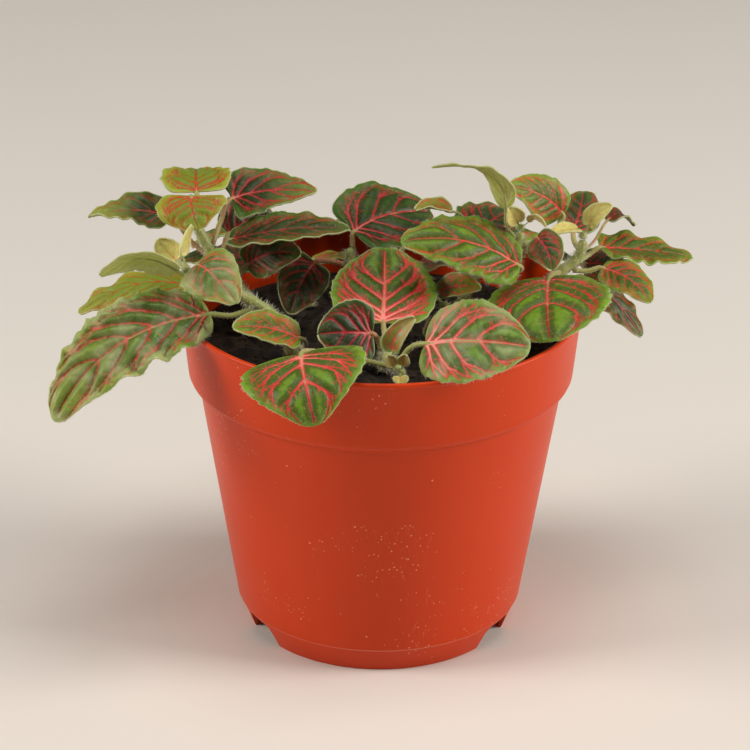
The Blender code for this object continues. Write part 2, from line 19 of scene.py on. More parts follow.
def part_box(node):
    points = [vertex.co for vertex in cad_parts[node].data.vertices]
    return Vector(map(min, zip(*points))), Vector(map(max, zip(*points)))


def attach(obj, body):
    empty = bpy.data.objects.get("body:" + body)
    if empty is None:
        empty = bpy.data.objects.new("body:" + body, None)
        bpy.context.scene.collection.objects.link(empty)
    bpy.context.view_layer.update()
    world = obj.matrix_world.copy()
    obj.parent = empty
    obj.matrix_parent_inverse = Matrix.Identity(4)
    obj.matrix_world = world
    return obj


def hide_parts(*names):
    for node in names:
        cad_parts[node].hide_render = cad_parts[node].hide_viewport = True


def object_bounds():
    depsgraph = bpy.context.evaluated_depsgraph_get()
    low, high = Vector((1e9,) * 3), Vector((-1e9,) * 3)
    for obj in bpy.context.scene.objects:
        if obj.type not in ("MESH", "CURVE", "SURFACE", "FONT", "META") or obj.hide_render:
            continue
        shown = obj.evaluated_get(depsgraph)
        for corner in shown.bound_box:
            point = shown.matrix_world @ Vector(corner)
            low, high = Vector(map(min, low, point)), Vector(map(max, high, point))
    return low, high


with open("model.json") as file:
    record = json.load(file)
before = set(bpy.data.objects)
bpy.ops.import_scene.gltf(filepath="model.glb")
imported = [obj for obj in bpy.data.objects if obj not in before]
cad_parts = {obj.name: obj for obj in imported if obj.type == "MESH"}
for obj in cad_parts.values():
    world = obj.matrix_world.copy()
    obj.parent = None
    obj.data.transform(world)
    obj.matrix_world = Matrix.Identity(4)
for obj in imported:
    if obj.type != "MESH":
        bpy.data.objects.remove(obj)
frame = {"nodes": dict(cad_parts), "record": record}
CAD_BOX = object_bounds()

bl_info = {
    "name": "Potted nerve plant",
    "version": (1, 0, 0),
    "blender": (4, 5, 0),
    "location": "3D View > Sidebar > Nerve plant",
    "description": "Builds a nerve plant with veined leaves and hairy stems in a moulded nursery pot",
    "category": "Add Mesh",
}

MM = 0.001
BODY = "root"

# How the part's bodies are read: vertices closer than this are one, and a lofted body has eight to a ring,
# six rings to a blade before its heel, and ends whose triangles face the same way.
MERGE = 0.002 * MM
RING = 8
BLADE_RINGS = 6
FLAT = 1 - 1e-4

# Half widths of a blade at its heel and its tip, and the least that it is drawn with.
HEEL_WIDTH, TIP_WIDTH, LEAST_WIDTH = 0.9 * MM, 0.12 * MM, 0.1 * MM

# Where a side vein forks, as a share of its length, and how many vein gaps the fork drifts towards the tip.
FORKS = ((0.42, -0.45), (0.66, 0.5))

# Where the stalk's rib is carried under the blade, as shares of the blade's length.
RIB_SHARES = np.array([0.04, 0.12, 0.25, 0.4, 0.56, 0.72, 0.88])

# Steps round a stem and round a leaf's stalk.
STEM_SIDES, STALK_SIDES = 16, 10

# Hairs: to each millimetre of stem and of stalk, to each vertex of a blade, and on a bud.
STEM_HAIRS, STALK_HAIRS, DOWN_SHARE, BUD_HAIRS = 26, 7, 0.05, 160
# Each hair round a stem or a bud stands this far round from the last, which spaces them evenly.
GOLDEN_TURN = math.radians(137.5)

# How many vertices of a growing tip belong to its bud: those that lie furthest from its leaves' tips.
BUD_POINTS = 24

# Half widths at which a leaf puckers, waves and is veined in full; a narrower one is so in proportion.
FULL_PUCKER, FULL_WAVE, FULL_VEINS = 10 * MM, 9 * MM, 14 * MM

# A margin's waves and scallops: the length of each, and how deep the scallops cut, as a share of the width.
WAVE_LENGTH, SCALLOP_LENGTH, SCALLOP_DEPTH = 7 * MM, 2.2 * MM, 0.024

# How far a blade takes to rise beside a bold vein, beside a fine one and from its margin.
BOLD_RISE, FINE_RISE, MARGIN_RISE = 1.3 * MM, 0.35 * MM, 1.6 * MM

# Distances along a vein between its twigs, along a stem and a stalk between rings, and between swellings.
TWIG_GAP, STEM_STEP, STALK_STEP, SWELLING_GAP = 1.5 * MM, 0.5 * MM, 1.2 * MM, 9 * MM

# The pot's notches: how they narrow upwards, how round their corners are, and how wide a sector holds one.
NOTCH_LEAN, NOTCH_ROUND, NOTCH_SECTOR = 0.22, 2.4 * MM, math.radians(24)

# Soil: steps across its top, how far the top and the plug under it are sunk, and its crumbs, each kind with
# its roundness, its share of them all, and its least and greatest radius.
SOIL_STEPS, SOIL_SINK, PLUG_SINK = 120, 0.6 * MM, 1.5 * MM
CRUMB_KINDS = ((1, 0.8, 0.5, 1.3), (2, 0.2, 1.2, 2.6))


class Look(NamedTuple):
    """How a leaf differs from its neighbours: how many pairs of veins it has, how bold they are, how far they
    arch towards its tip, how far its margin waves, how much it puckers, how much finer its veins branch, how
    far the pairs fan out from the heel instead of along the midrib, and how pale its tip is."""

    pairs: int = 5
    bold: float = 0.62
    arch: float = 1.3
    wave: float = 1.0
    pucker: float = 1.0
    twigs: float = 1.0
    fan: float = 0.3
    tip: float = 0.0


LOOKS = {
    "leaf_front_big": Look(5, 1.05, 0.95, 0.4, 0.8, 1.6, 0.6),
    "leaf_front_left": Look(4, 0.85, 1.0, 0.4, 0.9, 0.9, 0.5),
    "leaf_front_right": Look(4, 1.05, 1.2, 0.6, 1.1, 1.3, 0.3),
    "leaf_front_dark": Look(4, 0.9, 1.0, 0.5, 0.8, 0.7, 0.5),
    "leaf_front_young": Look(4, 0.7, 1.1, 0.8, 0.8, 1.0, 0.4, 0.9),
    "leaf_far_big": Look(5, 0.7, 1.6, 0.5, 1.3, 0.9, 0.9),
    "leaf_right_wide": Look(4, 0.5, 1.3, 0.8, 1.3, 0.5),
    "leaf_middle_top": Look(4, 0.6, 1.1, 0.6, 1.0, 0.8, 0.5),
    "leaf_upper_heart": Look(4, 0.75, 1.1, 0.5, 0.7, 0.8, 0.6, 0.45),
    "leaf_upper_front": Look(5, 0.5, 1.2, 0.6, 0.9, 1.4, 0.4),
    "leaf_upper_back": Look(5, 0.5, 1.2, 1.0, 1.0, 1.2, 0.4),
    "leaf_upper_side": Look(6, 0.45, 1.4, 0.8, 1.1, 0.8),
    "leaf_upper_curled": Look(5, 0.35, 1.3, 1.0, 1.0, 0.4, 0.3, 1.0),
    "leaf_left_long": Look(6, 0.62, 1.3, 2.4, 1.8, 0.9, 0.2, 0.6),
    "leaf_left_silver": Look(4, 0.45, 1.3, 1.0, 1.0, 0.7, 0.3, 0.3),
    "leaf_left_folded": Look(6, 0.35, 1.3, 0.9, 1.4, 0.3),
    "leaf_left_under": Look(6, 0.4, 1.3, 1.3, 1.4, 0.4, 0.3, 0.5),
    "leaf_right_crinkled": Look(7, 0.35, 1.2, 1.6, 1.8, 0.4),
    "leaf_right_top": Look(6, 0.5, 1.2, 1.0, 1.2, 0.8, 0.3, 0.3),
    "leaf_far_right": Look(5, 0.5, 1.2, 1.4, 1.3, 0.9),
}
TIP_LOOK = Look(3, 0.3, 1.2, 0.4, 0.6, 0.0)


def span(name, description, millimetres):
    return FloatProperty(name=name, description=description, default=millimetres * MM, unit="LENGTH")


class PlantSettings(bpy.types.PropertyGroup):
    """Sizes of the leaves, stems and hairs."""

    cell: span("Blade cell", "Side of one face of a blade", 0.42)
    thickness: span("Blade thickness", "How thick a blade is", 0.45)
    pucker: span("Pucker", "How far a blade bulges between veins", 0.8)
    wave: span("Margin wave", "How far a blade's margin waves", 1.1)
    midrib: span("Midrib", "Half breadth at the broadest leaf's heel", 0.95)
    stem_hair: span("Stem hair", "Length of the hairs on a stem", 1.9)
    leaf_hair: span("Leaf hair", "Length of the hairs on a leaf", 0.6)
    hair_radius: span("Hair radius", "Radius at a hair's root", 0.065)
    hair_spacing: span("Hair spacing", "Distance between hairs on a margin", 0.55)
    seed: IntProperty(name="Seed", description="Start of the random draws", default=11)


class PotSettings(bpy.types.PropertyGroup):
    """Sizes and colours of the pot and its soil."""

    sides: IntProperty(name="Pot sides", description="Steps round the pot", default=176)
    edge: span("Edge round", "Radius of the pot's moulded edges", 0.35)
    colour: FloatVectorProperty(
        name="Plastic", description="Colour of the pot", default=(0.57, 0.041, 0.001), subtype="COLOR"
    )
    seam: span("Seam height", "Height of the line above the foot", 8.3)
    crumbs: IntProperty(name="Crumbs", description="Loose crumbs on the soil", default=420)
    soil_relief: span("Soil relief", "How uneven the soil is", 1.6)


class StageSettings(bpy.types.PropertyGroup):
    """The floor, the lights and the camera."""

    floor_size: FloatProperty(name="Floor size", description="Side of the floor", default=5.0, unit="LENGTH")
    lens: FloatProperty(name="Lens", description="Focal length", default=146.8, subtype="DISTANCE_CAMERA")
    eye: FloatVectorProperty(
        name="Eye", description="Place of the camera", default=(0.0, -0.8374, 0.4586), subtype="TRANSLATION"
    )
    pitch: FloatProperty(name="Pitch", description="How far it looks down", default=0.4258, subtype="ANGLE")
    yaw: FloatProperty(name="Yaw", description="Turn to the left", default=-0.002, subtype="ANGLE")
    roll: FloatProperty(name="Roll", description="Lean of the camera", default=0.0084, subtype="ANGLE")


# ---- mesh helpers


def unit(vectors):
    return vectors / np.linalg.norm(vectors, axis=-1, keepdims=True)


def distance_along(points):
    """How far each point lies along the line through them."""
    return np.concatenate([[0.0], np.cumsum(np.linalg.norm(np.diff(points, axis=0), axis=1))])


def select_only(*items):
    bpy.ops.object.select_all(action="DESELECT")
    for item in items:
        item.select_set(True)
    bpy.context.view_layer.objects.active = items[0]


def switch(mode):
    bpy.ops.object.mode_set(mode=mode)


def clear_marks(item):
    """Leaves nothing selected in the item's mesh, so that its own vertices or edges can be marked."""
    select_only(item)
    switch("EDIT")
    bpy.ops.mesh.select_all(action="DESELECT")
    switch("OBJECT")


def coordinates(item):
    flat = np.empty(len(item.data.vertices) * 3)
    item.data.vertices.foreach_get("co", flat)
    return flat.reshape(-1, 3)


def set_coordinates(item, points):
    item.data.vertices.foreach_set("co", np.asarray(points, float).ravel())
    item.data.update()


def rename(item, name):
    item.name = name
    item.data.name = name
    return item


def link(name, data):
    item = bpy.data.objects.new(name, data)
    bpy.context.scene.collection.objects.link(item)
    return item


def add(kind, name, **sizes):
    """A new primitive, which alone is selected."""
    bpy.ops.object.select_all(action="DESELECT")
    getattr(bpy.ops.mesh, f"primitive_{kind}_add")(**sizes)
    return rename(bpy.context.object, name)


def new_grid(name, columns, rows):
    """A grid whose vertices run along a row first, ready to be laid on a surface."""
    return add("grid", name, x_subdivisions=columns - 1, y_subdivisions=rows - 1, size=1)


def dress(item, material):
    """One finish all over, without the map that a primitive brings."""
    for layer in list(item.data.uv_layers):
        item.data.uv_layers.remove(layer)
    item.data.materials.clear()
    item.data.materials.append(material)


def wrap_tube(name, centres, radii, sides, material):
    """A closed tube through the centres, made from a grid that is wrapped round and merged at its seam."""
    along = unit(np.gradient(centres, axis=0))
    side = np.cross(along[0], (0, 0, 1))
    if np.linalg.norm(side) < 0.2:
        side = np.cross(along[0], (0, 1, 0))
    points = []
    for centre, radius, direction in zip(centres, radii, along):
        side = unit(side - direction * side.dot(direction))
        upward = np.cross(side, direction)
        for step in range(sides + 1):
            angle = -math.tau * step / sides
            points.append(centre + side * (radius * math.cos(angle)) + upward * (radius * math.sin(angle)))
    tube = new_grid(name, sides + 1, len(centres))
    set_coordinates(tube, points)
    close_ends(tube)
    dress(tube, material)
    tube.data.shade_smooth()
    return tube


def close_ends(item):
    """Merges the seam, caps the open ends and turns every face outwards."""
    select_only(item)
    switch("EDIT")
    bpy.ops.mesh.select_all(action="SELECT")
    bpy.ops.mesh.remove_doubles(threshold=MERGE)
    bpy.ops.mesh.select_all(action="DESELECT")
    bpy.ops.mesh.select_non_manifold()
    bpy.ops.mesh.fill_holes(sides=0)
    bpy.ops.mesh.select_all(action="SELECT")
    bpy.ops.mesh.normals_make_consistent(inside=False)
    switch("OBJECT")


def join(name, items):
    select_only(*items)
    if len(items) > 1:
        bpy.ops.object.join()
    return rename(bpy.context.object, name)


def apply_modifier(item, kind, **settings):
    modifier = item.modifiers.new("Shape", kind)
    for key, value in settings.items():
        setattr(modifier, key, value)
    select_only(item)
    bpy.ops.object.modifier_apply(modifier=modifier.name)


def model_of(kind, **sizes):
    """The vertices and faces of a primitive that is to be copied many times."""
    item = add(kind, "model", **sizes)
    shape = coordinates(item)
    faces = [tuple(face.vertices) for face in item.data.polygons]
    bpy.data.objects.remove(item)
    return shape, faces


def copies(name, shapes, faces):
    """One object of many copies of a model, each with its own places."""
    size = len(shapes[0])
    polygons = [tuple(n * size + k for k in face) for n in range(len(shapes)) for face in faces]
    mesh = bpy.data.meshes.new(name)
    mesh.from_pydata(np.concatenate(shapes).tolist(), [], polygons)
    return link(name, mesh)


def hair_set(name, hairs, radius, material):
    """Closed three-sided spikes, copies of one cone: a (root, direction, length) for each hair."""
    cone, faces = model_of("cone", vertices=3, radius1=1, depth=1)
    cone[:, 2] += 0.5
    shapes = []
    for root, direction, length in hairs:
        direction = unit(direction)
        side = unit(np.cross(direction, (0.3, 0.5, 0.81)))
        other = np.cross(direction, side)
        around = cone[:, :1] * side * radius + cone[:, 1:2] * other * radius
        shapes.append(root + around + cone[:, 2:] * direction * length)
    item = copies(name, shapes, faces)
    item.data.materials.append(material)
    return item


def scattered(draw, most):
    return np.array([draw.uniform(-most, most) for _ in range(3)])


def finish_piece(piece, node):
    """Rides the piece on the plant's body in place of the node it stands for."""
    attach(piece, BODY)
    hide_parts(node)


def slot_of(node):
    for subpart in frame["record"]["subparts"]:
        if subpart["node"] == node:
            return subpart["material_slot"]
    raise RuntimeError(f"the record has no subpart for {node}")


def nodes_named(prefix):
    return sorted(name for name in frame["nodes"] if name.startswith(prefix))


# ---- reading the part's bodies


def merged_shape(node):
    """The node's body as one connected skin."""
    shape = bmesh.new()
    shape.from_mesh(frame["nodes"][node].data)
    bmesh.ops.remove_doubles(shape, verts=shape.verts, dist=MERGE)
    shape.normal_update()
    shape.verts.index_update()
    return shape


def by_index(vertices):
    return sorted(vertices, key=lambda vertex: vertex.index)


def flat_ends(shape):
    """The vertices round each flat end of a lofted body."""
    ends, seen = [], set()
    for face in shape.faces:
        if face in seen:
            continue
        group, queue = {face}, [face]
        while queue:
            for edge in queue.pop().edges:
                for other in edge.link_faces:
                    if other not in group and other.normal.dot(face.normal) > FLAT:
                        group.add(other)
                        queue.append(other)
        seen |= group
        corners = {vertex for member in group for vertex in member.verts}
        if len(group) == RING - 2 and len(corners) == RING:
            ends.append(by_index(corners))
    return ends


def layers_from(end):
    """The rings of a lofted body, counted from one of its ends."""
    layers, seen, layer = [], set(end), end
    while len(layer) == RING:
        layers.append(layer)
        layer = by_index({edge.other_vert(vertex) for vertex in layer for edge in vertex.link_edges} - seen)
        seen |= set(layer)
    return layers


def in_order(layer, beside):
    """The layer's vertices in order round it, along the edges that have a face towards the next layer."""
    members, beside = set(layer), set(beside)
    ring, last = [layer[0]], None
    while len(ring) < RING:
        for edge in ring[-1].link_edges:
            other = edge.other_vert(ring[-1])
            lateral = any(vertex in beside for face in edge.link_faces for vertex in face.verts)
            if other in members and other is not last and other not in ring and lateral:
                last = ring[-1]
                ring.append(other)
                break
        else:
            return None
    return ring


def aligned(ring, model):
    """The ring's points, turned and ordered so that each faces its fellow in the model."""
    offsets = model - model.mean(axis=0)
    choices = [np.roll(turned, shift, axis=0) for turned in (ring, ring[::-1]) for shift in range(RING)]
    return max(choices, key=lambda choice: float(((choice - choice.mean(axis=0)) * offsets).sum()))


def groove_first(ring):
    """The ring turned so that its drawn-in point, which marks the upper side, is number two."""
    half, reach = RING // 2, []
    for index in range(RING):
        others = [k for k in range(half) if k != index % half]
        centre = np.mean([(ring[k] + ring[k + half]) / 2 for k in others], axis=0)
        reach.append(np.linalg.norm(ring[index] - centre))
    return np.roll(ring, 2 - int(np.argmin(reach)), axis=0)


class Blade(NamedTuple):
    """A leaf as its rings give it, from the heel to the tip: places on the midrib, half width vectors, how
    the margins lie off the midrib, the upper side's direction, and the centres of its stalk."""

    middles: np.ndarray
    across: np.ndarray
    lift: np.ndarray
    upper: np.ndarray
    stalk: np.ndarray


def read_blades(node):
    """Every lofted leaf in a node. A leaf's tip is the flat end whose next ring is the wider one."""
    shape = merged_shape(node)
    blades = []
    for end in flat_ends(shape):
        layers = layers_from(end)
        rings = []
        for layer, beside in zip(layers, layers[1:] + layers[-2:-1]):
            ordered = in_order(layer, beside)
            if ordered is None:
                break
            rings.append(np.array([vertex.co for vertex in ordered]))
        if len(rings) <= BLADE_RINGS:
            continue
        spread = [np.linalg.norm(ring - ring.mean(axis=0), axis=1).max() for ring in rings]
        if spread[1] < 1.3 * spread[0] or spread[2] < spread[1]:
            continue
        lofted = [groove_first(rings[BLADE_RINGS])]
        for ring in rings[BLADE_RINGS - 1 :: -1]:
            lofted.append(aligned(ring, lofted[-1]))
        blades.append(blade_of(lofted[0], lofted[1:], rings[BLADE_RINGS + 1 :]))
    shape.free()
    return blades


def blade_of(heel, lofted, stalk_rings):
    start = (heel[0] + heel[4]) / 2
    middles = [start] + [(ring[2] + ring[6]) / 2 for ring in lofted]
    across = [(ring[0] - ring[4]) / 2 for ring in lofted]
    lift = [(ring[0] + ring[4]) / 2 - middle for ring, middle in zip(lofted, middles[1:])]
    upper = [unit(ring[2] - ring[6]) for ring in lofted]
    stalk = [start] + [ring.mean(axis=0) for ring in stalk_rings]
    return Blade(*(np.array(rows) for rows in (middles, across, lift, upper, stalk[::-1])))


# ---- curves


def smooth_through(knots, values, at):
    """A smooth curve through the values at the knots, read at the places `at`."""
    slopes = np.gradient(values, knots, axis=0)
    place = np.clip(np.searchsorted(knots, at, side="right") - 1, 0, len(knots) - 2)
    gap = knots[place + 1] - knots[place]
    local = (at - knots[place]) / gap
    extra = (1,) * (values.ndim - 1)
    gap, local = gap.reshape(-1, *extra), local.reshape(-1, *extra)
    square, cube = local**2, local**3
    return (
        values[place] * (2 * cube - 3 * square + 1)
        + slopes[place] * gap * (cube - 2 * square + local)
        + values[place + 1] * (3 * square - 2 * cube)
        + slopes[place + 1] * gap * (cube - square)
    )


def ripple(seed, wavelength):
    """A random wave along a line: a function of the distance along it."""
    draw = random.Random(seed)
    parts = [
        (draw.uniform(0.5, 1.0), wavelength * draw.uniform(0.6, 1.9), draw.uniform(0, math.tau))
        for _ in range(5)
    ]

    def height(distance):
        return sum(size * np.sin(math.tau * distance / period + turn) for size, period, turn in parts) / 2.2

    return height


class Surface:
    """A leaf's blade as a surface: `u` runs from margin to margin, `v` from the heel to the tip."""

    def __init__(self, blade, look, sizes, seed):
        run = distance_along(blade.middles)
        widths = np.linalg.norm(blade.across, axis=1)
        heel = min(HEEL_WIDTH, 0.5 * widths[0])
        self.length = float(run[-1])
        self.half_width = float(widths.max())
        self.knots = run / self.length
        self.middles = blade.middles
        self.squares = np.concatenate([[heel**2], widths[:-1] ** 2, [TIP_WIDTH**2]])
        rows = (blade.across / widths[:, None], blade.lift / widths[:, None], blade.upper)
        self.across, self.lifts, self.upper = (np.concatenate([row[:1], row]) for row in rows)
        self.wave = sizes.wave * look.wave * min(1.0, self.half_width / FULL_WAVE)
        self.ripples = [ripple(seed + k, WAVE_LENGTH) for k in range(2)]
        self.nibbles = [ripple(seed + 7 + k, SCALLOP_LENGTH) for k in range(2)]

    def read(self, values, v):
        return smooth_through(self.knots, values, v)

    def width(self, v):
        return np.sqrt(np.maximum(self.read(self.squares, v), LEAST_WIDTH**2))

    def flat(self, u, v):
        """Places on the blade pressed flat: distance from the midrib, and distance along it."""
        width = self.width(v)
        ahead, behind = (self.read(self.middles, np.clip(v + step, 0, 1)) for step in (0.01, -0.01))
        sweep = (self.read(self.lifts, v) * unit(ahead - behind)).sum(axis=1)
        return u * width, v * self.length + sweep * width * u**2

    def at(self, u, v):
        """Places of the blade in space, waved at its margin."""
        distance = v * self.length
        waves, nibble = (
            np.where(u < 0, left(distance), right(distance)) for left, right in (self.ripples, self.nibbles)
        )
        ease = np.sin(np.clip(v, 0, 1) * math.pi) ** 0.5
        reach = self.width(v) * (1 - SCALLOP_DEPTH * nibble * ease * np.abs(u) ** 3)
        rise = self.wave * waves * ease * np.abs(u) ** 2.6
        return (
            self.read(self.middles, v)
            + unit(self.read(self.across, v)) * (u * reach)[:, None]
            + self.read(self.lifts, v) * (reach * u**2)[:, None]
            + unit(self.read(self.upper, v)) * rise[:, None]
        )


# ---- veins


class Vein(NamedTuple):
    """A run of a vein on the flat blade: its points and its half breadth at each."""

    points: np.ndarray
    breadths: np.ndarray
    fine: bool


def vein_tree(surface, look, sizes, seed):
    """The midrib, the pairs of side veins that leave it, their forks, and the twigs on all of them."""
    draw = random.Random(seed)
    thick = sizes.midrib * look.bold * (0.12 + 0.88 * min(1.0, surface.half_width / FULL_VEINS))
    steps = np.linspace(0, 1, 9)
    gap = 0.86 / look.pairs

    def run(u, v, start, end, fine=False):
        places = surface.flat(np.clip(u, -0.97, 0.97), np.clip(v, 0, 0.985))
        return Vein(np.stack(places, axis=1), start + (end - start) * steps**0.8, fine)

    def wander(slowest, fastest):
        return 0.02 * np.sin(steps * draw.uniform(slowest, fastest) + draw.uniform(0, 6))

    veins = [run(wander(4, 7) * steps, 0.95 * steps, thick, 0.22 * thick)]
    for side in (-1, 1):
        for pair in range(look.pairs):
            share = pair / look.pairs
            leave = max(0.0, 0.85 * share ** (1.25 + 1.2 * look.fan) + draw.uniform(-0.025, 0.025))
            arrive = 0.1 + 0.86 * (pair + 0.55) / look.pairs + draw.uniform(-0.03, 0.03)
            reach = draw.uniform(0.82, 0.93)
            start = thick * (0.8 - 0.35 * share)
            bend = look.arch + draw.uniform(-0.1, 0.1)
            u = side * (reach * steps + wander(5, 9) * steps)
            veins.append(run(u, leave + (arrive - leave) * steps**bend, start, 0.35 * start))
            for fork_at, drift in FORKS:
                fork_at += draw.uniform(-0.07, 0.07)
                from_u = side * reach * fork_at
                from_v = leave + (arrive - leave) * fork_at**bend
                to_v = arrive + drift * gap + draw.uniform(-0.02, 0.02)
                fork_u = from_u + (side * reach * draw.uniform(0.93, 1.02) - from_u) * steps
                fork_v = from_v + (to_v - from_v) * steps ** draw.uniform(0.8, 1.3)
                veins.append(run(fork_u, fork_v, 0.62 * start, 0.25 * start))
            if pair:
                hoop_u = side * reach * (1 - 0.12 * np.sin(steps * math.pi))
                veins.append(run(hoop_u, arrive - gap * steps, 0.2 * start, 0.16 * start, True))
    return veins + twigs(veins, look, thick, draw)


def twigs(veins, look, thick, draw):
    """Short fine veins that leave the others at a slant, each with a kink in it."""
    found = []
    for vein in veins:
        if vein.fine:
            continue
        steps = np.diff(vein.points, axis=0)
        length = np.linalg.norm(steps, axis=1).sum()
        for _ in range(int(look.twigs * length / TWIG_GAP)):
            index = min(int(draw.random() * len(steps)), len(steps) - 1)
            points = [vein.points[index] + steps[index] * draw.random()]
            heading = math.atan2(steps[index][1], steps[index][0])
            heading += draw.choice((-1, 1)) * math.radians(draw.uniform(35, 75))
            for _ in range(4):
                heading += math.radians(draw.uniform(-28, 28))
                reach = draw.uniform(0.35, 0.75) * MM
                points.append(points[-1] + np.array([math.cos(heading), math.sin(heading)]) * reach)
            start = min(0.3 * thick, 0.55 * float(vein.breadths[index]))
            found.append(Vein(np.array(points), np.linspace(start, 0.25 * start, len(points)), True))
    return found


def distance_to(points, veins):
    """How far each flat place lies outside the nearest vein's edge. It is negative inside a vein."""
    nearest = np.full(len(points), 1.0)
    for vein in veins:
        low, high = vein.points.min(axis=0) - 4 * MM, vein.points.max(axis=0) + 4 * MM
        close = np.flatnonzero(((points > low) & (points < high)).all(axis=1))
        if not len(close):
            continue
        start, step = vein.points[:-1], np.diff(vein.points, axis=0)
        offset = points[close, None, :] - start
        share = np.clip((offset * step).sum(axis=2) / ((step**2).sum(axis=1) + 1e-15), 0, 1)
        gap = np.linalg.norm(offset - share[:, :, None] * step, axis=2)
        breadth = vein.breadths[:-1] + share * np.diff(vein.breadths)
        nearest[close] = np.minimum(nearest[close], (gap - breadth).min(axis=1))
    return nearest


# ---- leaves


def normals_of(points):
    """The normal at each point of a (rows, columns, 3) surface."""
    normal = np.cross(np.gradient(points, axis=1), np.gradient(points, axis=0))
    return normal / (np.linalg.norm(normal, axis=2)[:, :, None] + 1e-12)


def store(item, name, values):
    """A value at each vertex, in millimetres or as a share, for the finish to read."""
    attribute = item.data.attributes.new(name, "FLOAT", "POINT")
    attribute.data.foreach_set("value", np.asarray(values, np.float32).ravel())


def make_leaf(name, blade, look, sizes, finishes, seed):
    """A blade with its veins in relief, the stalk that runs on under it, and its hairs, as one piece."""
    surface = Surface(blade, look, sizes, seed)
    columns = max(14, int(2 * surface.half_width / sizes.cell)) // 2 * 2 + 1
    rows = max(16, int(surface.length / sizes.cell)) + 1
    spread = np.linspace(0, 1, rows)
    spread = 0.55 * spread + 0.45 * (1 - np.cos(spread * math.pi)) / 2
    u, v = (grid.ravel() for grid in np.meshgrid(np.linspace(-1, 1, columns), spread))
    flat = np.stack(surface.flat(u, v), axis=1)
    veins = vein_tree(surface, look, sizes, seed)
    bold, fine = (distance_to(flat, [vein for vein in veins if vein.fine == kind]) for kind in (False, True))
    width = surface.width(v)
    margin = np.minimum(width * (1 - np.abs(u)), np.minimum(v, 1 - v) * surface.length + 0.4 * width)
    base = surface.at(u, v).reshape(rows, columns, 3)
    upward = normals_of(base)
    reverse = (upward[rows // 2, columns // 2] * blade.upper[2]).sum() < 0
    if reverse:
        upward = -upward
    fade = np.clip(margin / MARGIN_RISE, 0, 1) * np.clip(width / (4 * MM), 0, 1)
    bulge = sizes.pucker * look.pucker * min(1.0, surface.half_width / FULL_PUCKER)
    relief = bulge * (1 - np.exp(-np.maximum(bold, 0) / BOLD_RISE)) * fade
    relief += 0.22 * bulge * (1 - np.exp(-np.maximum(fine, 0) / FINE_RISE)) * fade
    relief -= 0.25 * bulge * (bold < 0)
    laid = base + upward * relief.reshape(rows, columns, 1)

    leaf = new_grid(name, columns, rows)
    set_coordinates(leaf, laid.reshape(-1, 3))
    if reverse:
        leaf.data.flip_normals()
    pale = look.tip * np.clip((v - 0.35) / 0.5, 0, 1)
    values = {"bold_vein": bold / MM, "fine_vein": fine / MM, "margin": margin / MM, "along": v, "pale": pale}
    for key, share in values.items():
        store(leaf, key, share)
    lay_out(leaf, flat)
    for side in ("upper", "under"):
        leaf.data.materials.append(finishes[side])
    leaf.data.shade_smooth()
    solid = {"offset": -1, "material_offset": 1, "use_quality_normals": True}
    apply_modifier(leaf, "SOLIDIFY", thickness=sizes.thickness, **solid)
    leaf.data.shade_smooth()
    stalk = make_stalk(name, blade, surface, upward, sizes, finishes, seed)
    return join(name, [leaf, *stalk, leaf_hairs(name, laid, upward, sizes, finishes["hair"], seed)])


def lay_out(leaf, flat):
    """A UV map that holds each place on the flat blade, in centimetres."""
    layer = leaf.data.uv_layers.active or leaf.data.uv_layers.new(name="flat")
    layer.name = "flat"
    corners = np.empty(len(leaf.data.loops), int)
    leaf.data.loops.foreach_get("vertex_index", corners)
    layer.data.foreach_set("uv", (flat[corners] / (10 * MM)).astype(np.float32).ravel())


def make_stalk(name, blade, surface, upward, sizes, finishes, seed):
    """The stalk, which runs on as a tapering rib under the blade's middle, and its coat of hairs."""
    rows, columns = upward.shape[:2]
    middle = upward[:, columns // 2]
    thick = min(0.8 * MM, 0.12 * surface.half_width)
    radii = 0.8 * thick * (1 - 0.85 * RIB_SHARES**0.7)
    drop = middle[(RIB_SHARES * (rows - 1)).astype(int)] * (radii + 0.12 * MM)[:, None]
    low = blade.stalk.copy()
    low[-1] -= middle[0] * 0.45 * thick
    path = np.concatenate([low, surface.read(surface.middles, RIB_SHARES) - drop])
    distance = distance_along(path)
    fine = np.linspace(0, distance[-1], max(16, int(distance[-1] / STALK_STEP)))
    centres = smooth_through(distance, path, fine)
    reach = np.interp(fine, distance, np.concatenate([np.full(len(low), thick), radii]))
    stalk = wrap_tube(name + "_stalk", centres, reach, STALK_SIDES, finishes["stalk"])
    free = max(4, int(np.searchsorted(fine, distance[len(low) - 1])))
    draw = random.Random(seed)
    hairs = coat_hairs(centres[:free], reach[:free], STALK_HAIRS, sizes.leaf_hair, draw)
    return [stalk, hair_set(name + "_coat", hairs, sizes.hair_radius, finishes["hair"])]


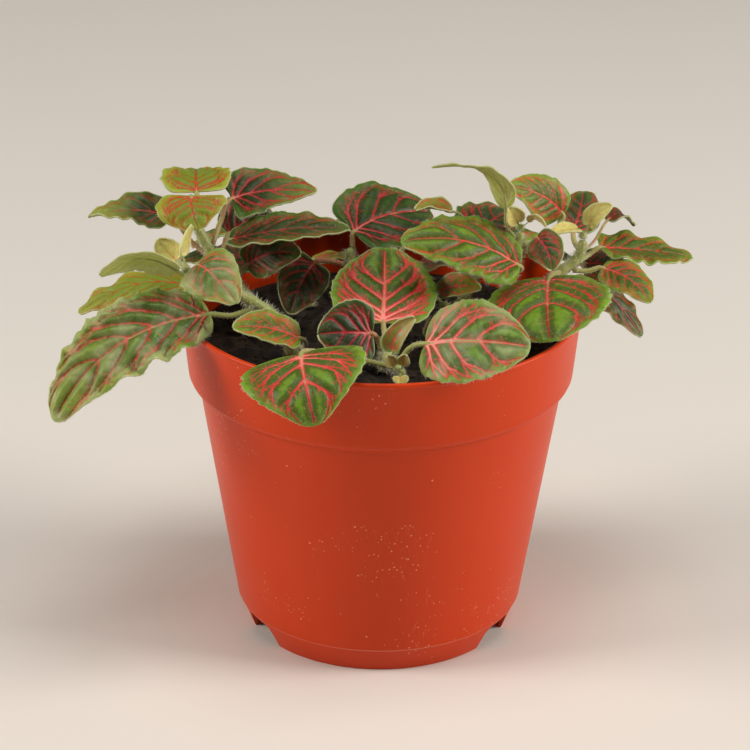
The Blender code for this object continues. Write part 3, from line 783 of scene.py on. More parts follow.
def leaf_hairs(name, laid, upward, sizes, material, seed):
    """Hairs that stand out from the margin, and finer scattered ones on the upper side."""
    draw = random.Random(seed + 101)
    rows, columns = laid.shape[:2]
    fringe, down = [], []
    for row in range(2, rows - 2, max(1, round(sizes.hair_spacing / sizes.cell))):
        for column, inner in ((0, 2), (columns - 1, columns - 3)):
            out = laid[row, column] - laid[row, inner]
            out /= np.linalg.norm(out) + 1e-12
            lean = scattered(draw, 0.5)
            root = laid[row, column] - out * 0.05 * MM - upward[row, column] * 0.5 * sizes.thickness
            direction = out + upward[row, column] * draw.uniform(-0.3, 0.7) + lean
            fringe.append((root, direction, sizes.leaf_hair * draw.uniform(0.6, 1.5)))
    for _ in range(int(rows * columns * DOWN_SHARE)):
        row, column = draw.randrange(1, rows - 1), draw.randrange(1, columns - 1)
        direction = upward[row, column] * 0.8 + scattered(draw, 1.1)
        root = laid[row, column] - upward[row, column] * 0.04 * MM
        down.append((root, direction, sizes.leaf_hair * draw.uniform(0.5, 1.0)))
    margin = hair_set(name + "_fringe", fringe, 0.8 * sizes.hair_radius, material)
    return join(name + "_hairs", [margin, hair_set(name + "_down", down, 0.55 * sizes.hair_radius, material)])


# ---- stems and tips


def read_stem(node):
    """Centres and radii of a stem's rings, from the soil up."""
    shape = merged_shape(node)
    ends = flat_ends(shape)
    if not ends:
        raise RuntimeError(f"{node} has no flat end to read its rings from")
    lowest = min(ends, key=lambda end: np.mean([vertex.co.z for vertex in end]))
    rings = [np.array([vertex.co for vertex in layer]) for layer in layers_from(lowest)]
    shape.free()
    centres = np.array([ring.mean(axis=0) for ring in rings])
    radii = [np.linalg.norm(ring - centre, axis=1).mean() for ring, centre in zip(rings, centres)]
    return centres, np.array(radii)


def make_stem(name, node, sizes, finishes, seed):
    """A stem with swollen nodes and a coat of standing hairs."""
    centres, radii = read_stem(node)
    draw = random.Random(seed)
    distance = distance_along(centres)
    fine = np.linspace(0, distance[-1], max(24, int(distance[-1] / STEM_STEP)))
    path = smooth_through(distance, centres, fine)
    swell = 1 + 0.1 * np.sin(fine / SWELLING_GAP * math.tau + draw.uniform(0, 6)) ** 6
    reach = np.interp(fine, distance, radii) * swell
    reach[-3:] *= (0.96, 0.82, 0.5)
    stem = wrap_tube(name, path, reach, STEM_SIDES, finishes["stalk"])
    hairs = coat_hairs(path, reach, STEM_HAIRS, sizes.stem_hair, draw)
    return join(name, [stem, hair_set(name + "_coat", hairs, sizes.hair_radius, finishes["hair"])])


def coat_hairs(path, reach, per_mm, length, draw):
    """Hairs that stand out all round a stem or a stalk and lean a little towards its end."""
    along = np.gradient(path, axis=0)
    whole = float(np.linalg.norm(along, axis=1).sum())
    along = unit(along)
    hairs = []
    for index in range(int(whole / MM * per_mm)):
        row = int(draw.random() * (len(path) - 1))
        side = unit(np.cross(along[row], (0.2, 0.3, 0.93)))
        other = np.cross(along[row], side)
        angle = index * GOLDEN_TURN
        out = side * math.cos(angle) + other * math.sin(angle)
        lean = scattered(draw, 0.35)
        direction = out + along[row] * draw.uniform(-0.3, 0.6) + lean
        hairs.append((path[row] + out * (0.93 * reach[row]), direction, length * draw.uniform(0.4, 1.1)))
    return hairs


def make_tip(name, node, sizes, finishes, seed):
    """A growing tip: a plump bud between the young leaves that open from it."""
    blades = read_blades(node)
    if not blades:
        raise RuntimeError(f"{node} has no leaf to read")
    skin = merged_shape(node)
    points = np.array([vertex.co for vertex in skin.verts])
    skin.free()
    reach = [min(np.linalg.norm(point - blade.middles[-1]) for blade in blades) for point in points]
    bud_points = points[np.argsort(reach)[-BUD_POINTS:]]
    centre = bud_points.mean(axis=0)
    radius = float(np.median(np.linalg.norm(bud_points - centre, axis=1)))
    bud = add("uv_sphere", name, segments=20, ring_count=14, radius=1)
    rise = np.mean([blade.stalk[0] for blade in blades], axis=0) - centre
    rise = rise / (np.linalg.norm(rise) + 1e-12)
    ball = coordinates(bud)
    peak = np.outer(np.maximum(ball @ rise, 0) ** 2, rise) * 0.5
    set_coordinates(bud, centre + (ball + peak) * radius)
    dress(bud, finishes["stalk"])
    bud.data.shade_smooth()
    parts = [bud]
    for index, blade in enumerate(blades):
        joined = blade._replace(stalk=np.concatenate([[centre], blade.stalk[-1:]]))
        parts.append(make_leaf(f"{name}_{index}", joined, TIP_LOOK, sizes, finishes, seed + 13 * index))
    draw = random.Random(seed)
    hairs = []
    for index in range(BUD_HAIRS):
        height = draw.uniform(-1, 1)
        angle, ring = index * GOLDEN_TURN, math.sqrt(1 - height**2)
        out = np.array([ring * math.cos(angle), ring * math.sin(angle), height])
        hairs.append((centre + out * radius * 0.95, out, sizes.leaf_hair * draw.uniform(0.7, 1.6)))
    parts.append(hair_set(name + "_hairs", hairs, sizes.hair_radius, finishes["hair"]))
    return join(name, parts)


# ---- pot and soil


def pot_outline():
    """The pot's section from its axis under the floor, round the wall and back to the axis, as the part has
    it on the half plane where its turned outline starts."""
    shape = merged_shape("pot")
    flush = [vertex for vertex in shape.verts if abs(vertex.co.y) < MERGE and vertex.co.x > MM]
    foot = min(vertex.co.x for vertex in flush if vertex.co.z < MERGE)
    wall = {vertex for vertex in flush if vertex.co.x > 0.95 * foot}
    beside = {vertex: [edge.other_vert(vertex) for edge in vertex.link_edges] for vertex in wall}
    beside = {vertex: [other for other in others if other in wall] for vertex, others in beside.items()}
    ends = sorted((vertex for vertex in wall if len(beside[vertex]) == 1), key=lambda vertex: vertex.co.z)
    if len(ends) != 2:
        raise RuntimeError("the pot's section isn't one open run")
    run, last = [ends[0]], None
    while run[-1] is not ends[1]:
        following = [vertex for vertex in beside[run[-1]] if vertex is not last]
        last = run[-1]
        run.append(following[0])
    points = [(vertex.co.x, vertex.co.z) for vertex in run]
    shape.free()
    return [(0.0, points[0][1]), *points, (0.0, points[-1][1])]


def pot_cuts(outline):
    """What is cut through the pot: (turn, half width, its height, full height) of its notches, and
    (x, y, radius) of its drain holes."""
    floor, inner = outline[0][1], 0.8 * outline[1][0]
    shape = merged_shape("pot")
    notches, holes = {}, {}
    for vertex in shape.verts:
        x, y, z = vertex.co
        radius = math.hypot(x, y)
        if 0.2 * MM < z < floor - 0.3 * MM:
            gather(notches, math.atan2(y, x), (radius, z))
        elif MM < radius < inner and z > floor - 0.1 * MM:
            gather(holes, math.atan2(y, x), (x, y))
    shape.free()
    cuts, drains = [], []
    for group in notches.values():
        middle = (min(row[0] for row in group) + max(row[0] for row in group)) / 2
        half, level = max((radius * abs(math.sin(turn - middle)), z) for turn, radius, z in group)
        cuts.append((middle, half, level, max(row[2] for row in group)))
    for group in holes.values():
        places = np.array(group)[:, 1:]
        centre = (places.max(axis=0) + places.min(axis=0)) / 2
        drains.append((*centre, float(np.linalg.norm(places - centre, axis=1).max())))
    return cuts, drains


def gather(groups, turn, row):
    """Puts the row with those that lie in about the same direction from the axis."""
    for key, rows in groups.items():
        apart = math.remainder(turn - key, math.tau)
        if abs(apart) < NOTCH_SECTOR:
            rows.append((key + apart, *row))
            return
    groups[turn] = [(turn, *row)]


def cut_away(item, cutter):
    apply_modifier(item, "BOOLEAN", object=cutter, operation="DIFFERENCE")
    bpy.data.objects.remove(cutter)


def make_pot(sizes, material):
    """The pot: its section with moulded edges, spun about the axis, then notched and drilled."""
    outline = pot_outline()
    pot = add("circle", "pot_shell", vertices=len(outline), radius=1)
    set_coordinates(pot, [(radius, 0, height) for radius, height in outline])
    clear_marks(pot)
    for vertex in pot.data.vertices:
        vertex.select = vertex.co.x > MM
    switch("EDIT")
    bpy.ops.mesh.bevel(affect="VERTICES", offset=sizes.edge, segments=3, profile=0.5, clamp_overlap=True)
    switch("OBJECT")
    shape = bmesh.new()
    shape.from_mesh(pot.data)
    for edge in [edge for edge in shape.edges if all(vertex.co.x < MM for vertex in edge.verts)]:
        shape.edges.remove(edge)
    shape.to_mesh(pot.data)
    shape.free()
    switch("EDIT")
    bpy.ops.mesh.select_all(action="SELECT")
    bpy.ops.mesh.spin(steps=sizes.sides, angle=math.tau, center=(0, 0, 0), axis=(0, 0, 1))
    bpy.ops.mesh.select_all(action="SELECT")
    bpy.ops.mesh.remove_doubles(threshold=0.01 * MM)
    bpy.ops.mesh.normals_make_consistent(inside=False)
    switch("OBJECT")
    notches, holes = pot_cuts(outline)
    for notch in notches:
        cut_away(pot, notch_cutter(notch, outline[2][0]))
    for x, y, radius in holes:
        drill = {"vertices": 40, "radius": radius, "depth": 8 * MM, "location": (x, y, outline[0][1])}
        cut_away(pot, add("cylinder", "drill", **drill))
    dress(pot, material)
    select_only(pot)
    bpy.ops.object.shade_smooth_by_angle(angle=math.radians(32))
    return pot


def notch_cutter(notch, foot):
    """A block across the foot's wall that narrows upwards, with its upper corners rounded."""
    turn, half, level, height = notch
    block = add("cube", "notch", size=1)
    shape = coordinates(block)
    shape[:, 2] = np.where(shape[:, 2] > 0, height, -4 * MM)
    shape[:, 1] = np.sign(shape[:, 1]) * (half + NOTCH_LEAN * (level - shape[:, 2]))
    shape[:, 0] = foot + shape[:, 0] * 14 * MM
    set_coordinates(block, shape)
    clear_marks(block)
    for edge in block.data.edges:
        ends = [block.data.vertices[index].co for index in edge.vertices]
        edge.select = all(end.z > 0 for end in ends) and ends[0].y * ends[1].y > 0
    switch("EDIT")
    bpy.ops.mesh.bevel(affect="EDGES", offset=NOTCH_ROUND, segments=6)
    switch("OBJECT")
    block.data.transform(Matrix.Rotation(turn, 4, "Z"))
    return block


def make_soil(sizes, material, seed):
    """Uneven peat with crumbs on it, on top of the plug that fills the pot."""
    low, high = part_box("soil")
    radius, top = (high.x - low.x) / 2, high.z
    shape = merged_shape("soil")
    for vertex in shape.verts:
        if vertex.co.z > top - MM:
            vertex.co.z -= PLUG_SINK
    mesh = bpy.data.meshes.new("soil_plug")
    shape.to_mesh(mesh)
    shape.free()
    plug = link("soil_plug", mesh)

    sheet = new_grid("soil_top", SOIL_STEPS, SOIL_STEPS)
    square = coordinates(sheet)[:, :2] * 2
    ring = np.abs(square).max(axis=1)
    disc = square * (ring / (np.linalg.norm(square, axis=1) + 1e-9))[:, None] * radius
    relief = soil_relief(disc, seed) * sizes.soil_relief * np.clip((1 - ring) / 0.06, 0, 1)
    set_coordinates(sheet, np.column_stack([disc, top - SOIL_SINK + relief]))
    apply_modifier(sheet, "SOLIDIFY", thickness=2 * MM, offset=-1)

    draw = random.Random(seed)
    crumbs = []
    for detail, share, small, large in CRUMB_KINDS:
        ball, faces = model_of("ico_sphere", subdivisions=detail, radius=1)
        shapes = []
        for _ in range(int(sizes.crumbs * share)):
            reach = 0.95 * radius * math.sqrt(draw.random())
            angle = draw.uniform(0, math.tau)
            x, y = reach * math.cos(angle), reach * math.sin(angle)
            height = top - SOIL_SINK + float(soil_relief(np.array([[x, y]]), seed)[0]) * sizes.soil_relief
            size = draw.uniform(small, large) * MM
            rough = 1 + np.array([[draw.uniform(-0.3, 0.3)] for _ in ball])
            stretch = np.array([draw.uniform(0.6, 1.4), draw.uniform(0.6, 1.2), draw.uniform(0.4, 0.8)])
            turn = np.array(Matrix.Rotation(draw.uniform(0, math.tau), 3, "Z"))
            shapes.append((ball * rough * stretch * size) @ turn.T + (x, y, height + 0.1 * size))
        crumbs.append(copies("soil_crumbs", shapes, faces))
    soil = join("soil_bed", [sheet, plug, *crumbs])
    dress(soil, material)
    return soil


def soil_relief(places, seed):
    """Height of the soil's lumps at each place, as a share of its relief."""
    draw = random.Random(seed + 5)
    height = np.zeros(len(places))
    for _ in range(26):
        turn, period, phase = draw.uniform(0, math.tau), draw.uniform(2.5, 16), draw.uniform(0, math.tau)
        distance = places[:, 0] * math.cos(turn) + places[:, 1] * math.sin(turn)
        height += np.sin(distance / (period * MM) * math.tau + phase) * (period / 16) ** 0.6
    return height / 4.2


# ---- finishes


class Palette(NamedTuple):
    """A leaf's colours: between the veins, towards the margin, the veins' middle and their flush, the fine
    veins, the underside, how much painted sheen lies on it in silvery patches, and how plain its fine veins
    are."""

    deep: tuple
    green: tuple
    margin: tuple
    vein: tuple
    flush: tuple
    fine: tuple
    under: tuple
    bloom: float
    fine_share: float


PALETTES = {
    "leaf_green": Palette(
        (0.024, 0.066, 0.007), (0.115, 0.25, 0.013), (0.21, 0.37, 0.022), (0.88, 0.19, 0.16),
        (0.62, 0.034, 0.036), (0.4, 0.07, 0.025), (0.4, 0.5, 0.09), 0.04, 0.75,
    ),
    "leaf_dark": Palette(
        (0.008, 0.024, 0.005), (0.024, 0.076, 0.009), (0.08, 0.18, 0.016), (0.6, 0.055, 0.06),
        (0.42, 0.018, 0.025), (0.23, 0.028, 0.016), (0.22, 0.31, 0.065), 0.04, 0.55,
    ),
    "leaf_young": Palette(
        (0.11, 0.2, 0.012), (0.24, 0.31, 0.018), (0.38, 0.4, 0.04), (0.54, 0.04, 0.018),
        (0.46, 0.036, 0.014), (0.36, 0.055, 0.014), (0.52, 0.58, 0.1), 0.02, 0.55,
    ),
    "leaf_silver": Palette(
        (0.026, 0.08, 0.013), (0.12, 0.25, 0.028), (0.27, 0.41, 0.055), (0.86, 0.24, 0.21),
        (0.6, 0.065, 0.055), (0.4, 0.09, 0.05), (0.38, 0.48, 0.14), 0.32, 0.55,
    ),
    "leaf_shaded": Palette(
        (0.008, 0.02, 0.006), (0.015, 0.045, 0.008), (0.045, 0.1, 0.012), (0.46, 0.024, 0.038),
        (0.3, 0.01, 0.018), (0.14, 0.014, 0.01), (0.11, 0.13, 0.035), 0.03, 0.5,
    ),
    "tip_young": Palette(
        (0.38, 0.4, 0.08), (0.52, 0.54, 0.11), (0.78, 0.74, 0.26), (0.62, 0.18, 0.1),
        (0.56, 0.2, 0.09), (0.52, 0.26, 0.09), (0.88, 0.82, 0.34), 0.05, 0.3,
    ),
}
PALE_RIM = (0.5, 0.52, 0.26)
STALK_FLUSH = {"leaf_shaded": 0.85, "leaf_dark": 0.6, "leaf_green": 0.3}


class Nodes:
    """A node tree being written: `add` makes a node and fills its sockets from values or other outputs."""

    def __init__(self, tree):
        self.tree = tree

    def add(self, kind, settings=None, **inputs):
        node = self.tree.nodes.new("ShaderNode" + kind)
        for key, value in (settings or {}).items():
            setattr(node, key, value)
        for key, value in inputs.items():
            self.feed(node.inputs[int(key[1:]) if key[1:].isdigit() else key], value)
        return node

    def feed(self, socket, value):
        if isinstance(value, bpy.types.NodeSocket):
            self.tree.links.new(value, socket)
        elif isinstance(value, tuple) and len(value) == 3 and socket.type == "RGBA":
            socket.default_value = (*value, 1.0)
        else:
            socket.default_value = value

    def feed_all(self, sockets, **values):
        for key, value in values.items():
            self.feed(sockets[key.replace("_", " ")], value)

    def attribute(self, name):
        return self.add("Attribute", {"attribute_name": name}).outputs["Fac"]

    def place(self):
        return self.add("TexCoord").outputs["Object"]

    def flat(self):
        return self.add("UVMap", {"uv_map": "flat"}).outputs[0]

    def math(self, operation, first, second=0.0, clamp=False):
        return self.add("Math", {"operation": operation, "use_clamp": clamp}, i0=first, i1=second).outputs[0]

    def times(self, first, second):
        return self.math("MULTIPLY", first, second)

    def plus(self, first, second, clamp=False):
        return self.math("ADD", first, second, clamp)

    def more(self, first, second):
        return self.math("MAXIMUM", first, second)

    def off(self, first, second):
        return self.math("SUBTRACT", first, second)

    def ramp(self, value, low, high, start=0.0, end=1.0):
        """Eases from start to end as the value goes from low to high."""
        settings = {"interpolation_type": "SMOOTHSTEP", "clamp": True}
        return self.add("MapRange", settings, i0=value, i1=low, i2=high, i3=start, i4=end).outputs[0]

    def mix(self, factor, first, second):
        return self.add("Mix", {"data_type": "RGBA"}, i0=factor, i6=first, i7=second).outputs[2]

    def noise(self, vector, scale, detail=3.0, roughness=0.55):
        inputs = {"Vector": vector, "Scale": scale, "Detail": detail, "Roughness": roughness}
        return self.add("TexNoise", **inputs).outputs["Fac"]

    def cells(self, vector, scale, randomness=1.0, feature="F1"):
        inputs = {"Vector": vector, "Scale": scale, "Randomness": randomness}
        return self.add("TexVoronoi", {"feature": feature}, **inputs).outputs["Distance"]

    def stretched(self, vector, scale, turn=0.0):
        return self.add("Mapping", Vector=vector, Scale=scale, Rotation=(0.0, 0.0, turn)).outputs["Vector"]


def new_group(name, colours, values, outputs):
    """An empty node group with named colour and value inputs and named outputs."""
    group = bpy.data.node_groups.new(name, "ShaderNodeTree")
    sockets = [(label, "INPUT", "Color") for label in colours]
    sockets += [(label, "INPUT", "Float") for label in values]
    sockets += [(label, "OUTPUT", "Color" if label == "Color" else "Float") for label in outputs]
    for label, way, kind in sockets:
        group.interface.new_socket(label, in_out=way, socket_type="NodeSocket" + kind)
    given = group.nodes.new("NodeGroupInput").outputs
    return group, Nodes(group), given, group.nodes.new("NodeGroupOutput").inputs


def veined_group():
    """Colour and relief of a leaf's upper side, from the vein and margin distances stored on it."""
    colours = ("Deep", "Green", "Margin", "Vein", "Flush", "Fine")
    outputs = ("Color", "Roughness", "Height")
    group, n, given, result = new_group("Veined blade", colours, ("Bloom", "Fine share"), outputs)
    flat = n.flat()
    bold, fine, margin = n.attribute("bold_vein"), n.attribute("fine_vein"), n.attribute("margin")
    patches = n.noise(flat, 5.0, 3.0)
    mottled = n.noise(flat, 28.0, 4.0, 0.7)
    # The ground: dark beside the veins, green between them, paler at the margin, the tip and in a fine net.
    towards = n.ramp(n.plus(margin, n.times(n.off(patches, 0.5), 6.0)), 0.3, 4.5, 1.0, 0.0)
    between = n.ramp(n.times(n.ramp(bold, 0.2, 2.6), patches), 0.12, 0.62)
    blade = n.mix(between, given["Deep"], given["Green"])
    blade = n.mix(n.times(towards, 0.55), blade, given["Margin"])
    pale = n.times(n.attribute("pale"), n.ramp(patches, 0.2, 0.6, 0.6, 1.0))
    blade = n.mix(pale, blade, (0.27, 0.33, 0.06))
    blade = n.mix(n.ramp(mottled, 0.38, 0.7, 0.0, 0.35), blade, given["Margin"])
    cells = n.cells(flat, 9.5, 0.9, "DISTANCE_TO_EDGE")
    net = n.times(n.ramp(cells, 0.0, 0.07, 0.28, 0.0), given["Fine share"])
    blade = n.mix(n.times(net, n.ramp(margin, 0.3, 2.5)), blade, given["Fine"])
    halo = n.times(n.ramp(bold, 0.0, 0.6, 0.3, 0.0), n.ramp(patches, 0.3, 0.7, 0.5, 1.0))
    blade = n.mix(halo, blade, given["Fine"])
    # The veins: fine ones, then bold ones with a lighter middle that is palest by the heel.
    twig = n.times(n.ramp(fine, -0.06, 0.14, 1.0, 0.0), given["Fine share"])
    blade = n.mix(twig, blade, given["Flush"])
    vein_edge = n.plus(bold, n.times(n.off(mottled, 0.5), 0.35))
    core = n.ramp(vein_edge, -0.55, -0.05, 1.0, 0.0)
    heart = n.times(n.ramp(n.attribute("along"), 0.05, 0.45, 0.6, 0.0), core)
    coloured = n.mix(heart, n.mix(core, given["Flush"], given["Vein"]), (0.82, 0.36, 0.3))
    fading = n.ramp(n.attribute("pale"), 0.4, 1.0, 1.0, 0.5)
    blade = n.mix(n.times(n.ramp(vein_edge, -0.08, 0.12, 1.0, 0.0), fading), blade, coloured)
    # Pale hair streaks with painted glints on them, painted sheen in silvery patches, and the pale line round
    # the margin.
    hairs_and_glints = n.noise(n.stretched(flat, (30.0, 11.0, 1.0), 0.5), 3.2, 2.0, 0.6)
    bloom = n.times(n.ramp(n.noise(flat, 1.1, 2.0), 0.4, 0.62), given["Bloom"])
    blade = n.mix(n.plus(n.ramp(hairs_and_glints, 0.6, 0.8, 0.0, 0.16), bloom, True), blade, (0.52, 0.5, 0.32))
    blade = n.mix(n.ramp(margin, 0.08, 0.34, 0.7, 0.0), blade, PALE_RIM)
    height = n.plus(n.times(mottled, 0.7), n.times(net, -0.6))
    n.feed_all(result, Color=blade, Roughness=n.ramp(mottled, 0.3, 0.7, 0.3, 0.46), Height=height)
    return group


def under_group():
    """Colour and relief of a leaf's underside, where the veins stand out and the margin is pale."""
    group, n, given, result = new_group("Leaf underside", ("Under", "Vein"), (), ("Color", "Height"))
    flat = n.flat()
    bold, fine, margin = n.attribute("bold_vein"), n.attribute("fine_vein"), n.attribute("margin")
    mottled = n.noise(flat, 22.0, 4.0, 0.65)
    blade = n.mix(n.ramp(mottled, 0.3, 0.72, 0.0, 0.22), given["Under"], (0.15, 0.21, 0.02))
    ribs = n.ramp(bold, -0.1, 0.35, 0.75, 0.0)
    blade = n.mix(ribs, blade, (0.62, 0.62, 0.26))
    blade = n.mix(n.ramp(fine, -0.05, 0.12, 0.25, 0.0), blade, given["Vein"])
    blade = n.mix(n.ramp(margin, 0.1, 0.5, 0.7, 0.0), blade, PALE_RIM)
    n.feed_all(result, Color=blade, Height=n.plus(n.times(ribs, 1.2), n.times(mottled, 0.4)))
    return group


def scuffed_group():
    """Scratches, rubbed patches and limescale specks on a moulded pot."""
    outputs = ("Color", "Roughness", "Height")
    group, n, given, result = new_group("Scuffed plastic", ("Plastic",), ("Seam",), outputs)
    place = n.place()
    cloud = n.noise(place, 14.0, 3.0)
    worn = n.noise(place, 34.0, 4.0, 0.65)
    colour = n.mix(n.ramp(cloud, 0.3, 0.7, 0.0, 0.3), given["Plastic"], (0.49, 0.034, 0.001))
    marks = []
    for turn, tall in ((0.15, 620.0), (-0.3, 480.0)):
        line = n.noise(n.stretched(place, (tall, tall, 14.0), turn), 1.0, 0.0)
        marks.append(n.ramp(n.math("ABSOLUTE", n.off(line, 0.5)), 0.0, 0.006, 1.0, 0.0))
    scratch = n.times(n.more(*marks), n.ramp(worn, 0.53, 0.64))
    speck = n.times(n.ramp(n.cells(place, 620.0), 0.1, 0.22, 1.0, 0.0), n.ramp(worn, 0.52, 0.62))
    speck = n.more(speck, n.times(n.ramp(n.cells(place, 150.0), 0.035, 0.06, 1.0, 0.0), 0.9))
    # A paler line runs round the pot at the seam height, stronger in patches.
    height = n.add("SeparateXYZ", Vector=place).outputs["Z"]
    above = n.math("ABSOLUTE", n.off(height, given["Seam"]))
    seam = n.times(n.ramp(above, 0.08 * MM, 0.3 * MM, 1.0, 0.0), n.ramp(cloud, 0.35, 0.6, 0.1, 0.4))
    pale_marks = n.more(n.more(n.times(scratch, 0.2), n.times(speck, 0.6)), seam)
    rough = n.plus(n.ramp(cloud, 0.25, 0.75, 0.34, 0.44), n.times(pale_marks, 0.3))
    relief = n.plus(n.times(n.noise(place, 2600.0, 2.0), 0.5), n.times(speck, 0.9))
    n.feed_all(result, Color=n.mix(pale_marks, colour, (0.86, 0.42, 0.27)), Roughness=rough, Height=relief)
    return group


def new_material(name, roughness=0.5, **levels):
    """A material, its nodes and its shader, with plain numbers on the shader's own sockets."""
    material = bpy.data.materials.new(name)
    material.use_nodes = True
    shader = material.node_tree.nodes["Principled BSDF"]
    nodes = Nodes(material.node_tree)
    nodes.feed_all(shader.inputs, Roughness=roughness, **levels)
    return material, nodes, shader


def bump(n, shader, height, distance, strength=0.6):
    node = n.add("Bump", Height=height, Distance=distance, Strength=strength)
    n.feed(shader.inputs["Normal"], node.outputs[0])


def grouped_material(name, tree, given, relief, roughness=0.5, strength=0.6, **levels):
    """A material that places one group and wires all that it puts out."""
    material, n, shader = new_material(name, roughness, **levels)
    group = n.add("Group", {"node_tree": tree})
    n.feed_all(group.inputs, **given)
    n.feed(shader.inputs["Base Color"], group.outputs["Color"])
    if "Roughness" in group.outputs:
        n.feed(shader.inputs["Roughness"], group.outputs["Roughness"])
    bump(n, shader, group.outputs["Height"], relief, strength)
    return material


def upper_material(name, slot):
    colours = PALETTES[slot]._asdict()
    colours.pop("under")
    given = {key.capitalize(): value for key, value in colours.items()}
    tree = bpy.data.node_groups.get("Veined blade") or veined_group()
    return grouped_material(name, tree, given, 0.12 * MM, Specular_IOR_Level=0.24)


def under_material(name, slot):
    given = {"Under": PALETTES[slot].under, "Vein": PALETTES[slot].fine}
    tree = bpy.data.node_groups.get("Leaf underside") or under_group()
    return grouped_material(name, tree, given, 0.15 * MM, 0.6, Sheen_Weight=0.15)


def stalk_material(name, slot):
    """Pale green skin, flushed red in patches on the darker leaves."""
    flush = STALK_FLUSH.get(slot, 0.08)
    material, n, shader = new_material(name, Sheen_Weight=0.3)
    place = n.place()
    patch = n.noise(place, 160.0, 3.0)
    fibre = n.noise(n.stretched(place, (900.0, 900.0, 260.0)), 1.0, 3.0)
    skin = n.mix(patch, (0.22, 0.29, 0.05), (0.38, 0.4, 0.11))
    skin = n.mix(n.ramp(patch, 0.35, 0.65, 0.2 * flush, flush), skin, (0.42, 0.075, 0.05))
    skin = n.mix(n.ramp(fibre, 0.45, 0.75, 0.0, 0.3), skin, (0.52, 0.52, 0.34))
    n.feed(shader.inputs["Base Color"], skin)
    bump(n, shader, fibre, 0.15 * MM)
    return material


def hair_material(name, slot):
    """Near-white hair, a little greener in patches, the same on every leaf."""
    material, n, shader = new_material(name, 0.4)
    tint = n.noise(n.place(), 420.0, 2.0)
    n.feed(shader.inputs["Base Color"], n.mix(tint, (0.6, 0.63, 0.46), (0.88, 0.88, 0.78)))
    return material


def leaf_finishes(slot):
    """The upper, under, stalk and hair finishes of one kind of leaf, each made where it is missing."""
    makers = {"upper": upper_material, "under": under_material, "stalk": stalk_material}
    finishes = {}
    for side, make in {**makers, "hair": hair_material}.items():
        name = "leaf_hair" if side == "hair" else f"{slot}_{side}"
        finishes[side] = bpy.data.materials.get(name) or make(name, slot)
    return finishes


def pot_material(sizes):
    given = {"Plastic": tuple(sizes.colour), "Seam": sizes.seam}
    look = {"roughness": 0.4, "strength": 0.5, "Specular_IOR_Level": 0.22}
    return grouped_material("pot_plastic_finish", scuffed_group(), given, 0.03 * MM, **look)


def soil_material():
    material, n, shader = new_material("potting_soil_finish", 0.95)
    place = n.place()
    lump = n.noise(place, 260.0, 5.0, 0.7)
    fleck = n.noise(place, 900.0, 2.0)
    colour = n.mix(n.ramp(lump, 0.35, 0.65), (0.006, 0.004, 0.0025), (0.03, 0.018, 0.01))
    colour = n.mix(n.ramp(fleck, 0.64, 0.74, 0.0, 0.7), colour, (0.11, 0.068, 0.036))
    n.feed(shader.inputs["Base Color"], colour)
    bump(n, shader, lump, 1.0 * MM, 0.8)
    return material


# ---- operators


class NERVE_OT_pot(bpy.types.Operator):
    """Spins the nursery pot, with its notched foot and drain holes"""

    bl_idname = "nerve_plant.pot"
    bl_label = "Build the pot"

    def execute(self, context):
        sizes = context.scene.nursery_pot
        finish_piece(make_pot(sizes, pot_material(sizes)), "pot")
        return {"FINISHED"}


class NERVE_OT_soil(bpy.types.Operator):
    """Fills the pot with uneven, crumbly peat"""

    bl_idname = "nerve_plant.soil"
    bl_label = "Build the soil"

    def execute(self, context):
        soil = make_soil(context.scene.nursery_pot, soil_material(), context.scene.nerve_plant.seed)
        finish_piece(soil, "soil")
        return {"FINISHED"}


class NERVE_OT_stems(bpy.types.Operator):
    """Grows the hairy stems"""

    bl_idname = "nerve_plant.stems"
    bl_label = "Build the stems"

    def execute(self, context):
        sizes, finishes = context.scene.nerve_plant, leaf_finishes("leaf_silver")
        for index, node in enumerate(nodes_named("stem_")):
            stem = make_stem(node + "_skin", node, sizes, finishes, sizes.seed + 31 * index)
            finish_piece(stem, node)
        return {"FINISHED"}


class NERVE_OT_leaves(bpy.types.Operator):
    """Lays a veined blade over every leaf of the part"""

    bl_idname = "nerve_plant.leaves"
    bl_label = "Build the leaves"

    def execute(self, context):
        sizes = context.scene.nerve_plant
        for index, node in enumerate(nodes_named("leaf_")):
            blades = read_blades(node)
            if len(blades) != 1:
                raise RuntimeError(f"{node} reads as {len(blades)} leaves")
            look, finishes = LOOKS.get(node, Look()), leaf_finishes(slot_of(node))
            leaf = make_leaf(node + "_blade", blades[0], look, sizes, finishes, sizes.seed + 17 * index)
            finish_piece(leaf, node)
        return {"FINISHED"}


class NERVE_OT_tips(bpy.types.Operator):
    """Builds the growing tips: buds with their opening leaves"""

    bl_idname = "nerve_plant.tips"
    bl_label = "Build the growing tips"

    def execute(self, context):
        sizes = context.scene.nerve_plant
        for index, node in enumerate(nodes_named("tip_")):
            finishes = leaf_finishes(slot_of(node))
            tip = make_tip(node + "_tuft", node, sizes, finishes, sizes.seed + 53 * index)
            finish_piece(tip, node)
        return {"FINISHED"}


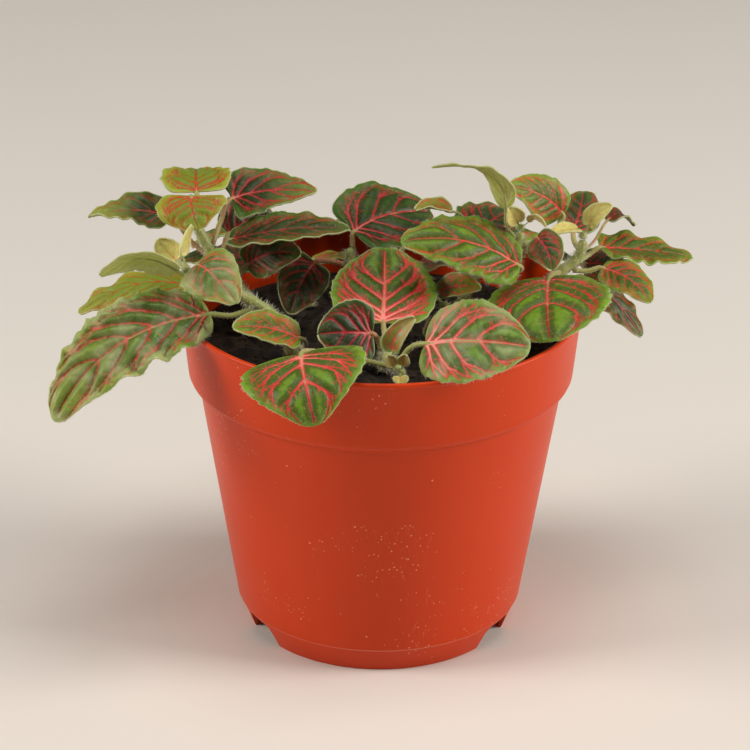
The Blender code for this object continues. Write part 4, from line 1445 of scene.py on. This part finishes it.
class NERVE_OT_stage(bpy.types.Operator):
    """Sets the floor, the soft lights and the camera"""

    bl_idname = "nerve_plant.stage"
    bl_label = "Set the stage"

    def execute(self, context):
        stage = context.scene.plant_stage
        floor = add("plane", "stage_floor", size=stage.floor_size, location=(0, 0, CAD_BOX[0].z))
        material, n, shader = new_material("stage_floor_finish", 0.7)
        shade = n.noise(n.place(), 3.0, 2.0)
        n.feed(shader.inputs["Base Color"], n.mix(shade, (0.66, 0.64, 0.61), (0.7, 0.68, 0.65)))
        floor.data.materials.append(material)
        middle = (CAD_BOX[0] + CAD_BOX[1]) / 2
        for name, place, size, power, colour in (
            ("light_left", (-1.45, -0.3, 0.85), 0.65, 19.0, (1.0, 0.93, 0.84)),
            ("light_right", (1.5, -0.22, 0.8), 0.75, 25.0, (1.0, 0.93, 0.84)),
            ("light_top", (0.05, -0.25, 1.35), 0.6, 6.5, (1.0, 0.96, 0.9)),
        ):
            light = bpy.data.lights.new(name, "AREA")
            light.size, light.energy, light.color = size, power, colour
            item = link(name, light)
            item.location = place
            item.rotation_euler = (middle - Vector(place)).to_track_quat("-Z", "Y").to_euler()
        world = bpy.data.worlds.new("studio")
        world.use_nodes = True
        background = world.node_tree.nodes["Background"].inputs
        Nodes(world.node_tree).feed_all(background, Color=(1.0, 0.96, 0.9), Strength=0.17)
        context.scene.world = world
        context.scene.view_settings.view_transform = "Standard"
        place_camera(stage)
        return {"FINISHED"}


def place_camera(stage):
    """The camera looks down on the rim, with the slight lean that the pot is seen with."""
    camera = bpy.data.cameras.new("camera")
    camera.lens = stage.lens
    camera.sensor_width = 36.0
    item = link("camera", camera)
    level = Vector((math.sin(stage.yaw), math.cos(stage.yaw), 0)) * math.cos(stage.pitch)
    forward = level - Vector((0, 0, math.sin(stage.pitch)))
    right = forward.cross(Vector((0, 0, 1))).normalized()
    upward = right.cross(forward)
    leaning_right = right * math.cos(stage.roll) + upward * math.sin(stage.roll)
    leaning_up = upward * math.cos(stage.roll) - right * math.sin(stage.roll)
    turn = Matrix((leaning_right, leaning_up, -forward)).transposed()
    item.matrix_world = Matrix.Translation(Vector(stage.eye)) @ turn.to_4x4()
    bpy.context.scene.camera = item


class NERVE_PT_panel(bpy.types.Panel):
    """Lists the steps in the order that they run"""

    bl_idname = "NERVE_PT_panel"
    bl_label = "Nerve plant"
    bl_space_type = "VIEW_3D"
    bl_region_type = "UI"
    bl_category = "Nerve plant"

    def draw(self, context):
        column = self.layout.column()
        for operator in OPERATORS:
            column.operator(operator.bl_idname)
        for group in (context.scene.nerve_plant, context.scene.nursery_pot, context.scene.plant_stage):
            box = self.layout.box()
            for key in group.__annotations__:
                box.prop(group, key)


OPERATORS = (NERVE_OT_pot, NERVE_OT_soil, NERVE_OT_stems, NERVE_OT_leaves, NERVE_OT_tips, NERVE_OT_stage)
CLASSES = (PlantSettings, PotSettings, StageSettings, *OPERATORS, NERVE_PT_panel)


def register():
    for item in CLASSES:
        bpy.utils.register_class(item)
    bpy.types.Scene.nerve_plant = PointerProperty(type=PlantSettings)
    bpy.types.Scene.nursery_pot = PointerProperty(type=PotSettings)
    bpy.types.Scene.plant_stage = PointerProperty(type=StageSettings)


def unregister():
    del bpy.types.Scene.plant_stage
    del bpy.types.Scene.nursery_pot
    del bpy.types.Scene.nerve_plant
    for item in reversed(CLASSES):
        bpy.utils.unregister_class(item)


def main():
    register()
    bpy.ops.nerve_plant.pot()
    bpy.ops.nerve_plant.soil()
    bpy.ops.nerve_plant.stems()
    bpy.ops.nerve_plant.leaves()
    bpy.ops.nerve_plant.tips()
    bpy.ops.nerve_plant.stage()


if __name__ == "__main__":
    main()
